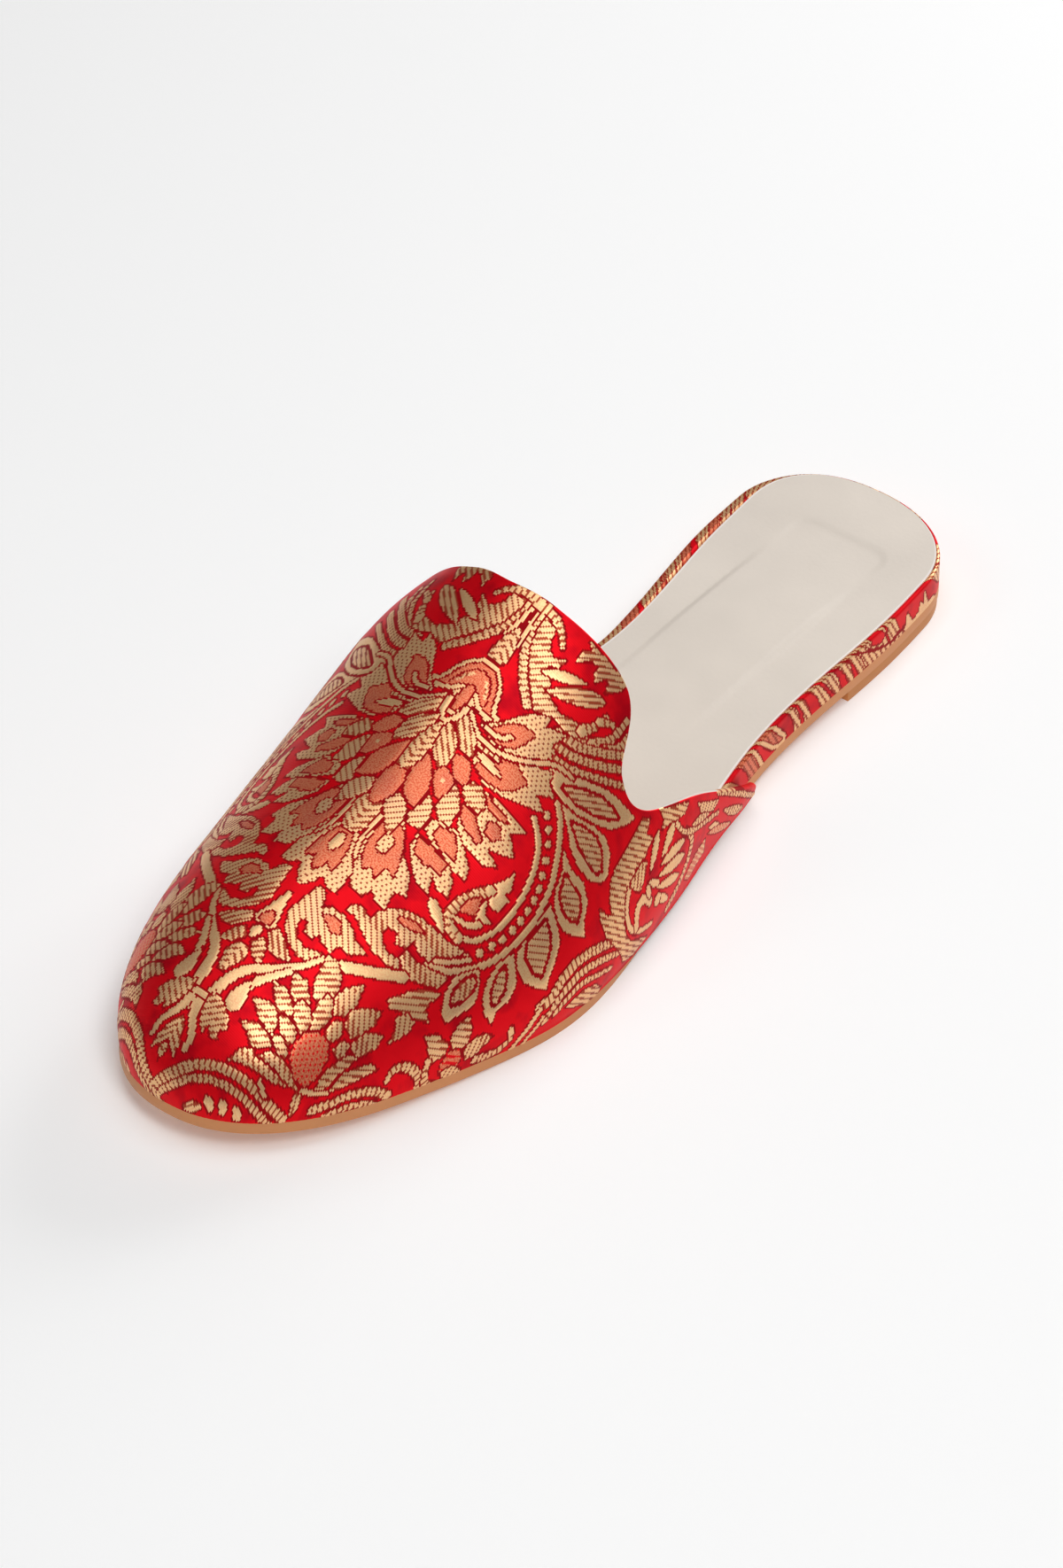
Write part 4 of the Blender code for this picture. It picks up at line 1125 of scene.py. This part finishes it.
def draw_outer_side(chart):
    """Leaves and stems as they fall on the narrow strip, by distance from the heel and height."""
    chart.patch(GOLD, "plain", (1, 3), (5, 4), (8, 11), (0, 11))
    chart.patch(GOLD, "steep", (9, 4), (13, 5), (16, 11), (11, 11))
    chart.patch(GOLD, "steep", (20, -1), (27.5, -1), (33.5, 3), (42, 11), (27, 11), (23.5, 5))
    chart.band(DARK, "plain", 0.6, 0.6, (23, 0), (29, 4.5), (36.5, 11), rim=0)
    chart.patch(GOLD, "plain", (33, -1), (37.4, 1.6), (39.4, 1.2), (41.2, 5.4), (41.6, 2.4), (43.2, 3.6),
                (43.9, 1.4), (46.6, 0.8), (49.2, 4.6), (49.7, 1.4), (53, -1))
    chart.patch(GOLD, "steep", (52.6, 2.2), (54.4, 5.6), (56, 11), (58.8, 11), (57.4, 4), (56, 1.4))
    chart.patch(GOLD, "steep", (57, 1), (64, 3), (68, 6), (72, 11), (59.8, 11), (58.4, 4))
    chart.patch(GROUND, "plain", (58.6, 4.4), (61.4, 8.4), (64.6, 8), (63.8, 4.8), (60.6, 3.6))
    chart.patch(GOLD, "steep", (50, -1), (64, -1), (70, 4), (74, 11), (70, 11), (65, 4), (56, 0.4), (51, 1))
    chart.band(DARK, "plain", 0.8, 0.6, (50, 1.8), (56, 1.0), (62, 2.6), (67, 4.8), (72, 7.8), (75, 11),
               rim=0)
    chart.patch(GOLD, "steep", (66, -1), (68.4, -1), (70.6, 3.6), (76.6, 11), (74.6, 11), (68.4, 4))
    chart.patch(GOLD, "steep", (70.6, -1), (72.4, -1), (74, 3), (80, 11), (77.6, 11), (72.4, 4.4))
    chart.patch(GOLD, "steep", (75.4, -1), (83, -1), (84.4, 3.4), (91, 11), (82, 11), (77, 3.6))
    chart.band(GROUND, "plain", 0.6, 0.6, (78, -1), (82, 4.6), (87, 11), rim=0.4)
    chart.patch(GOLD, "steep", (86.8, -1), (89.2, -1), (90.4, 3.6), (95, 11), (93, 11), (88.8, 4))
    chart.patch(GOLD, "steep", (90.8, -1), (93.4, -1), (94, 3.4), (98.6, 11), (96.2, 11), (92, 3.6))
    chart.patch(ROSE, "steep", (97.4, 1.4), (103, 1.4), (106.4, 5), (112, 11), (104.6, 11), (99.6, 4.4))
    chart.band(GOLD, "plain", 1.1, 0.9, (105, 11), (101, 5.6), (97.4, 1), (101, 0.8), (105, 4), (111, 11))
    chart.patch(ROSE, "steep", (107, -1), (112, -1), (114, 3.4), (120, 11), (113.4, 11), (109, 4))
    chart.band(GOLD, "plain", 1.1, 0.9, (106.4, -1), (109, 4), (114, 11))
    chart.band(GOLD, "plain", 1.4, 1.2, (115.6, -1), (120.2, 3.8), (127.6, 11))
    chart.patch(GOLD, "steep", (125.6, 2.2), (130, 2.8), (135, 5.6), (142, 11), (130, 11), (127, 6))
    chart.patch(GOLD, "plain", (122, -1), (128, -1), (131.6, 1.8), (126, 1))
    chart.patch(GOLD, "steep", (138, -1), (142.6, -1), (145, 3.4), (150, 11), (144, 11), (140, 4))


# The inner side's leaves. Columns: distance from the heel's middle, width in mm and yarn
INNER_LEAVES = (
    (3.5, 4.5, GOLD), (10.5, 3.5, ROSE), (17.5, 4.5, GOLD), (24.0, 4.0, GOLD), (31.0, 5.0, GOLD),
    (38.0, 3.2, GOLD), (44.5, 4.0, GOLD), (49.0, 4.0, ROSE), (53.2, 3.2, GOLD), (61.2, 3.2, ROSE),
    (65.0, 2.2, GOLD), (69.4, 4.0, GOLD), (72.6, 2.0, ROSE), (74.6, 2.0, GOLD), (79.4, 4.0, GOLD),
    (88.0, 4.5, ROSE), (96.0, 5.0, GOLD), (104.0, 4.0, GOLD), (111.0, 4.0, ROSE), (119.0, 5.0, GOLD),
    (128.0, 4.0, GOLD), (136.0, 5.0, ROSE), (144.0, 5.0, GOLD),
)


def draw_inner_side(chart):
    """The strip comes from another place of the pattern here, with slanted leaves."""
    for middle, wide, leaf_yarn in INNER_LEAVES:
        chart.leaf(leaf_yarn, "steep", 1.5 * wide, (middle - 6.0, -2.0), (middle + 3.0, 12.5), belly=0.6)


ring, u, v = new_grid("footbed_brocade", ring_columns, ring_rows)
move_corners(ring, place_ring(u, v))
around = u * RING_TAPE[-1]
up = v * ring_rows * SQUARE
squares = np.stack([around, up], axis=1)[faces_of(ring)].mean(axis=1)
around_back = squares[:, 0] > RING_TAPE[-1] / 2
from_heel = squares[:, 0] - RING_TAPE[-1] * around_back
ring_yarn = np.zeros(len(from_heel), int)
for on_side, draw_side in ((from_heel >= 0.0, draw_outer_side), (from_heel < 0.0, draw_inner_side)):
    ring_chart = Chart(from_heel[on_side], squares[on_side, 1], middle=lambda along: 0.0 * along)
    draw_side(ring_chart)
    ring_yarn[on_side] = ring_chart.yarn
weave(ring, ring_yarn, around, up)
close_up(ring)
bpy.ops.object.shade_smooth()
print("ring:", len(ring.data.polygons), "squares,", round(float(RING_TAPE[-1])), "mm round")

# %% [markdown]
# The sock is the thin cover that the foot stands on. Under its heel lies a soft pad. It shows as a
# low field with rounded corners that is pressed in at the heel and raised towards the vamp. A
# displacement texture could move it, but a height that is worked out from the distance to the
# pad's outline keeps its edge soft and in its true place. The outermost squares get a paler finish
# of their own, so a paler line runs along the sock's edge.

# %% The sock with its heel pad
PAD_SIDES, PAD_ENDS = (-0.0115, 0.0136), (0.0188, 0.1200)
PAD_CORNER, PAD_HEIGHT, PAD_EDGE = 0.0045, 0.0009, 0.0011
PAD_FULL, PAD_THINS = 0.055, 0.05  # where it starts to thin towards the vamp, and over what length
PRESSED, PRESS_LENGTH = 0.4, 0.035  # depth of its heel end as a share of its height, and length
SOCK_COLUMNS, SOCK_ROWS = 110, 200


def pad_height(x, s):
    """How far the pad stands above the sock, or lies below it where that is less than 0."""
    middle_x, middle_s = sum(PAD_SIDES) / 2, sum(PAD_ENDS) / 2
    past_x = np.abs(x - middle_x) - (PAD_SIDES[1] - PAD_SIDES[0]) / 2 + PAD_CORNER
    past_s = np.abs(s - middle_s) - (PAD_ENDS[1] - PAD_ENDS[0]) / 2 + PAD_CORNER
    outside = np.hypot(np.maximum(past_x, 0.0), np.maximum(past_s, 0.0))
    distance = outside + np.minimum(np.maximum(past_x, past_s), 0.0) - PAD_CORNER
    thinned = 1.0 - ease((s - PAD_FULL) / PAD_THINS)
    pressed = (1.0 + PRESSED) * ease((s - PAD_ENDS[0]) / PRESS_LENGTH) - PRESSED
    return PAD_HEIGHT * pressed * thinned * ease(0.5 - distance / (2 * PAD_EDGE))


def plan_grid(u, v, margin, front=None):
    """Plan points of a layer of the sole, from its heel at v = 0 to its toe at v = 1."""
    back = -margin(0.0, 1.0)
    tip = LENGTH + margin(LENGTH, 1.0)
    turn = np.pi if front is None else np.pi / 2
    end = tip if front is None else front
    s = back + (end - back) * (1.0 - np.cos(turn * v)) / (1.0 - np.cos(turn))
    left = half_width(s, margin(s, 1.0))
    right = half_width(s, margin(s, -1.0))
    return centre(s) - right + (left + right) * u, s


sock, u, v = new_grid("sock_cover", SOCK_COLUMNS, SOCK_ROWS)
x, s = plan_grid(u, v, sock_margin)
move_corners(sock, np.stack([x, HEEL_LENGTH / 2 - s, sock_top(s) + pad_height(x, s)], axis=1))
row, column = np.divmod(np.arange(len(sock.data.polygons)), SOCK_COLUMNS)
at_rim = (column == 0) | (column == SOCK_COLUMNS - 1) | (row == 0)
sock.data.polygons.foreach_set("material_index", at_rim.astype(np.int32))
close_up(sock)
print("sock:", round(area_of(sock) * 1e4, 1), "square cm, pad up to", PAD_HEIGHT / MM, "mm high")

# %% [markdown]
# The outsole and the heel are cut from tan leather. Both are slabs with an outline from the last,
# and so is the sock. They could be extruded outlines, but a grid keeps an even surface to bend. A
# solidify modifier gives each its thickness, and a bevel modifier rounds its edges a little, as a
# cutter and a wheel leave them.

# %% Outsole and heel
outsole, u, v = new_grid("outsole_leather", 24, 150)
x, s = plan_grid(u, v, lambda s, side: UPPER_FOOT * forefoot(s))
move_corners(outsole, np.stack([x, HEEL_LENGTH / 2 - s, sole_top(s)], axis=1))
close_up(outsole)

HEEL_OVERLAP = 0.1 * MM  # how far the heel reaches into the outsole, so that no gap shows
heel, u, v = new_grid("heel_lift", 24, 60)
x, s = plan_grid(u, v, lambda s, side: -GAP + 0.0 * s, front=HEEL_LENGTH)
move_corners(heel, np.stack([x, HEEL_LENGTH / 2 - s, sole_underside(s) + HEEL_OVERLAP], axis=1))
close_up(heel)


def turn_up(piece):
    """Turns the faces of an open sheet upwards, if they look down."""
    if piece.data.polygons[len(piece.data.polygons) // 2].normal.z < 0.0:
        only(piece)
        bpy.ops.object.mode_set(mode="EDIT")
        bpy.ops.mesh.select_all(action="SELECT")
        bpy.ops.mesh.flip_normals()
        bpy.ops.object.mode_set(mode="OBJECT")


def make_slab(sheet, thickness, edge_width):
    """Thickens an open sheet downwards and rounds its edges."""
    turn_up(sheet)
    wall = sheet.modifiers.new("thickness", "SOLIDIFY")
    wall.thickness, wall.offset = thickness, -1.0
    edge = sheet.modifiers.new("edge", "BEVEL")
    edge.width, edge.segments = edge_width, 3
    edge.limit_method, edge.angle_limit = "ANGLE", np.radians(50.0)
    only(sheet)
    for modifier in list(sheet.modifiers):
        bpy.ops.object.modifier_apply(modifier=modifier.name)
    bpy.ops.object.shade_smooth_by_angle(angle=np.radians(40.0))
    print(sheet.name, "has", len(sheet.data.polygons), "faces")


make_slab(sock, SOCK_THICKNESS, 0.25 * MM)
make_slab(outsole, SOLE_THICKNESS, 0.5 * MM)
make_slab(heel, HEEL_LIFT, 0.4 * MM)

# %% [markdown]
# Now the finishes. A colour picked from a screen is in sRGB, while the shader works in linear
# light, so one helper converts it. The brocade could be one material for each yarn, but a single one
# that reads each square's yarn from its attribute is easier to tune: a constant colour ramp turns
# the number into a colour, and others into metallic sheen and roughness. A broad noise paints
# purple-dark patches into the silk's colour, a painted shade for places where the satin loses its
# sheen, and a fine one breaks up the floating threads. Both, and a fine wave for the threads'
# relief, lie on the cloth's own UV map, so that they run with the cloth.

# %% Helpers for finishes
def paint(red, green, blue):
    """Linear colour of an sRGB one given from 0 to 255."""
    share = np.array([red, green, blue]) / 255.0
    linear = np.where(share <= 0.04045, share / 12.92, ((share + 0.055) / 1.055) ** 2.4)
    return (*[float(x) for x in linear], 1.0)


def new_finish(name, roughness, specular):
    finish = bpy.data.materials.new(name)
    finish.use_nodes = True
    shader = finish.node_tree.nodes["Principled BSDF"]
    shader.inputs["Roughness"].default_value = roughness
    shader.inputs["Specular IOR Level"].default_value = specular
    return finish, finish.node_tree, shader


def fill(tree, node, values):
    """Sets a node's sockets, and links those whose value is another node's socket."""
    for key, value in values.items():
        if isinstance(value, bpy.types.NodeSocket):
            tree.links.new(value, node.inputs[key])
        else:
            node.inputs[key].default_value = value


def add(tree, kind, values):
    """A new node with some of its sockets set."""
    node = tree.nodes.new(kind)
    fill(tree, node, values)
    return node


MIX_FIRST, MIX_SECOND, MIX_RESULT = 6, 7, 2  # numbers of a mix node's sockets for colours


def multiplied(tree, factor, first, second):
    """One colour multiplied by another, as far as the factor says."""
    mix = tree.nodes.new("ShaderNodeMix")
    mix.data_type, mix.blend_type = "RGBA", "MULTIPLY"
    fill(tree, mix, {"Factor": factor, MIX_FIRST: first, MIX_SECOND: second})
    return mix.outputs[MIX_RESULT]


def noise(tree, place, scale, detail):
    found = add(tree, "ShaderNodeTexNoise", {"Vector": place, "Scale": scale, "Detail": detail})
    return found.outputs["Fac"]


def to_white(tree, value, start, colour, end):
    """A colour where the value is below start, that fades to white at end."""
    ramp = add(tree, "ShaderNodeValToRGB", {"Fac": value})
    stops = ramp.color_ramp.elements
    stops[0].position, stops[0].color = start, (*colour, 1.0)
    stops[1].position, stops[1].color = end, (1.0, 1.0, 1.0, 1.0)
    return ramp.outputs["Color"]


def add_bump(tree, shader, height, strength, distance):
    bump = add(tree, "ShaderNodeBump", {"Height": height, "Strength": strength, "Distance": distance})
    fill(tree, shader, {"Normal": bump.outputs["Normal"]})


def by_yarn(tree, number, *values):
    """A constant ramp with one value for each yarn."""
    ramp = add(tree, "ShaderNodeValToRGB", {"Fac": number})
    ramp.color_ramp.interpolation = "CONSTANT"
    stops = ramp.color_ramp.elements
    while len(stops) < len(values):
        stops.new(1.0)
    for i, value in enumerate(values):
        stops[i].position = i / len(values)
        stops[i].color = value if hasattr(value, "__len__") else (value, value, value, 1.0)
    return ramp.outputs["Color"]


# %% The brocade
brocade, tree, shader = new_finish("brocade", 0.45, 0.04)
attribute = tree.nodes.new("ShaderNodeAttribute")
attribute.attribute_name = "yarn"
number = attribute.outputs["Fac"]
cloth_place = tree.nodes.new("ShaderNodeUVMap")
cloth_place.uv_map = "cloth"
mapping = add(tree, "ShaderNodeMapping",
              {"Vector": cloth_place.outputs["UV"], "Scale": (UV_SIDE, UV_SIDE, 1.0)})
in_mm = mapping.outputs["Vector"]
ground, gold, rose = paint(236, 15, 29), paint(248, 203, 148), paint(236, 142, 104)
brown, dark = paint(176, 78, 52), paint(166, 12, 20)
colour = by_yarn(tree, number, ground, gold, rose, brown, dark)

# Painted shade: a broad noise darkens the colour towards purple-crimson in patches, the red ground most,
# standing in for places where the satin's sheen is lost.
painted_satin_shade = to_white(tree, noise(tree, in_mm, 0.11, 3.0), 0.32, (0.62, 0.5, 0.9), 0.5)
colour = multiplied(tree, by_yarn(tree, number, 1.0, 0.15, 0.25, 0.3, 0.6), colour, painted_satin_shade)
flecks = to_white(tree, noise(tree, in_mm, 2.6, 1.0), 0.44, (0.85, 0.32, 0.28), 0.54)
colour = multiplied(tree, by_yarn(tree, number, 0.1, 0.3, 0.8, 0.4, 0.0), colour, flecks)
fill(tree, shader, {
    "Base Color": colour,
    "Metallic": by_yarn(tree, number, 0.4, 0.6, 0.5, 0.4, 0.2),
    "Roughness": by_yarn(tree, number, 0.42, 0.36, 0.38, 0.42, 0.5),
})
threads = add(tree, "ShaderNodeTexWave", {"Vector": in_mm, "Scale": 0.7})
threads.wave_type, threads.bands_direction = "BANDS", "Y"
add_bump(tree, shader, threads.outputs["Fac"], 0.25, 0.05 * MM)
print("brocade:", len(tree.nodes), "nodes for", len(YARNS), "yarns")

# %% [markdown]
# The plain finishes are leather, cloth and board. Each could be one even colour, but even the
# smoothest leather has a grain and slightly lighter places, and two noises on the object's own
# coordinates give both.

# %% The plain finishes
def grained(name, colour, roughness, grain, depth, specular=0.4):
    """Leather, cloth or board of one colour, with a fine uneven surface."""
    finish, tree, shader = new_finish(name, roughness, specular)
    place = tree.nodes.new("ShaderNodeTexCoord").outputs["Object"]
    broad = noise(tree, place, 40.0, 2.0)
    tone = add(tree, "ShaderNodeMapRange", {"Value": broad, "From Min": 0.3, "From Max": 0.7,
                                            "To Min": 0.95, "To Max": 1.03})
    fill(tree, shader, {"Base Color": multiplied(tree, 1.0, colour, tone.outputs["Result"])})
    add_bump(tree, shader, noise(tree, place, grain, 4.0), depth, 0.2 * MM)
    return finish


sock_leather = grained("sock_leather", paint(234, 223, 211), 0.62, 900.0, 0.25)
sole_leather = grained("sole_leather", paint(224, 150, 94), 0.5, 700.0, 0.3)
heel_leather = grained("heel_leather", paint(214, 140, 76), 0.5, 700.0, 0.3)
sock_rim = grained("sock_rim", paint(252, 243, 236), 0.62, 900.0, 0.25)
lining_cloth = grained("lining_cloth", paint(232, 222, 212), 0.8, 1500.0, 0.3, specular=0.2)
board = grained("board", paint(172, 164, 152), 0.9, 500.0, 0.4, specular=0.2)
print("finishes:", len(bpy.data.materials))

# %% [markdown]
# Each piece gets its finish and is attached to the shoe's root. The CAD solids it replaces stay
# in the model for collisions and are hidden here.

# %% Finishes and places in the frame
for piece, slot, *finishes in (
    (vamp, "brocade", brocade),
    (roll, "brocade", brocade, lining_cloth),
    (lining, "brocade", lining_cloth),
    (ring, "brocade", brocade),
    (sock, "sock_cover", sock_leather, sock_rim),
    (outsole, "sole_leather", sole_leather),
    (heel, "heel_leather", heel_leather),
):
    for finish in finishes:
        piece.data.materials.append(finish)
    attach(piece, "root")
nodes["footbed"].data.materials.clear()
nodes["footbed"].data.materials.append(board)
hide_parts("upper")
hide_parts("footbed_wrap")
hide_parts("sock")
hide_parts("outsole")
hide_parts("heel")

# %% The flat sizes of the cloth
vamp_area = area_of(vamp)
area_of(lining)
area_of(ring)
print("vamp cloth:", round(vamp_area * 1e4, 1), "square cm; ring:", round(area_of(ring) * 1e4, 1))

# %% [markdown]
# The shoe stands on a plain pale floor under soft studio light. Bright surroundings would light the
# silk evenly, but the photograph's gold shines in a few places, so area lamps do most of the work:
# one above, one behind the heel, and two small ones towards the toe. The camera looks as in the
# photograph: from in front of the toe, turned 39 degrees to the shoe's outer side and 40 degrees
# above it. Its place is worked out from these angles and its distance.

# %% Floor, light and camera
bpy.ops.object.select_all(action="DESELECT")
bpy.ops.mesh.primitive_plane_add(size=8.0)
floor = bpy.context.object
floor.name = "floor"
floor_paint, tree, shader = new_finish("floor_paint", 0.9, 0.0)
shader.inputs["Base Color"].default_value = (0.90, 0.90, 0.90, 1.0)
shader.inputs["Emission Color"].default_value = (1.0, 1.0, 1.0, 1.0)
shader.inputs["Emission Strength"].default_value = 0.18
floor.data.materials.append(floor_paint)

world = bpy.data.worlds.new("studio")
world.use_nodes = True
world.node_tree.nodes["Background"].inputs["Color"].default_value = (1.0, 1.0, 1.0, 1.0)
world.node_tree.nodes["Background"].inputs["Strength"].default_value = 0.03
bpy.context.scene.world = world

AIM = Vector((0.0, -0.099, 0.020))
LAMP_DISTANCE = 1.2


def direction(azimuth, elevation):
    """Out from the shoe's middle. The angles are in degrees, and 0, 0 is in front of the toe."""
    turn, lift = np.radians(azimuth), np.radians(elevation)
    return Vector((np.sin(turn) * np.cos(lift), -np.cos(turn) * np.cos(lift), np.sin(lift)))


def add_lamp(name, azimuth, elevation, wide, deep, power):
    """A soft light that shines on the shoe's middle."""
    towards = direction(azimuth, elevation)
    lamp = bpy.data.lights.new(name, "AREA")
    lamp.shape, lamp.size, lamp.size_y, lamp.energy = "RECTANGLE", wide, deep, power
    holder = bpy.data.objects.new(name, lamp)
    bpy.context.scene.collection.objects.link(holder)
    holder.location = AIM + LAMP_DISTANCE * towards
    holder.rotation_euler = towards.to_track_quat("Z", "Y").to_euler()


add_lamp("heel_light", 180.0, 24.0, 0.55, 0.45, 7.0)
add_lamp("top_light", 100.0, 86.0, 0.9, 0.9, 5.5)
add_lamp("toe_light", 56.0, 54.0, 0.4, 0.4, 4.7)
add_lamp("front_light", 318.0, 42.0, 0.45, 0.45, 1.0)

AZIMUTH, ELEVATION, ROLL = 39.2395, 40.3798, -0.8869
DISTANCE, ASIDE, BELOW, LENS = 1.26762, 0.0049416, 0.0079382, 132.93
back = direction(AZIMUTH, ELEVATION)
turn, tilt = np.radians(AZIMUTH), np.radians(ROLL)
flat_right = Vector((np.cos(turn), np.sin(turn), 0.0))
flat_up = back.cross(flat_right)
right = flat_right * np.cos(tilt) + flat_up * np.sin(tilt)
up = flat_up * np.cos(tilt) - flat_right * np.sin(tilt)
camera = bpy.data.cameras.new("photo_camera")
camera.sensor_fit, camera.sensor_height, camera.sensor_width = "VERTICAL", 36.0, 36.0
camera.lens = LENS
viewer = bpy.data.objects.new("photo_camera", camera)
bpy.context.scene.collection.objects.link(viewer)
turned = Matrix((right, up, back)).transposed().to_4x4()
turned.translation = AIM - ASIDE * right - BELOW * up + DISTANCE * back
viewer.matrix_world = turned
bpy.context.scene.camera = viewer
bpy.context.scene.view_settings.view_transform = "Standard"
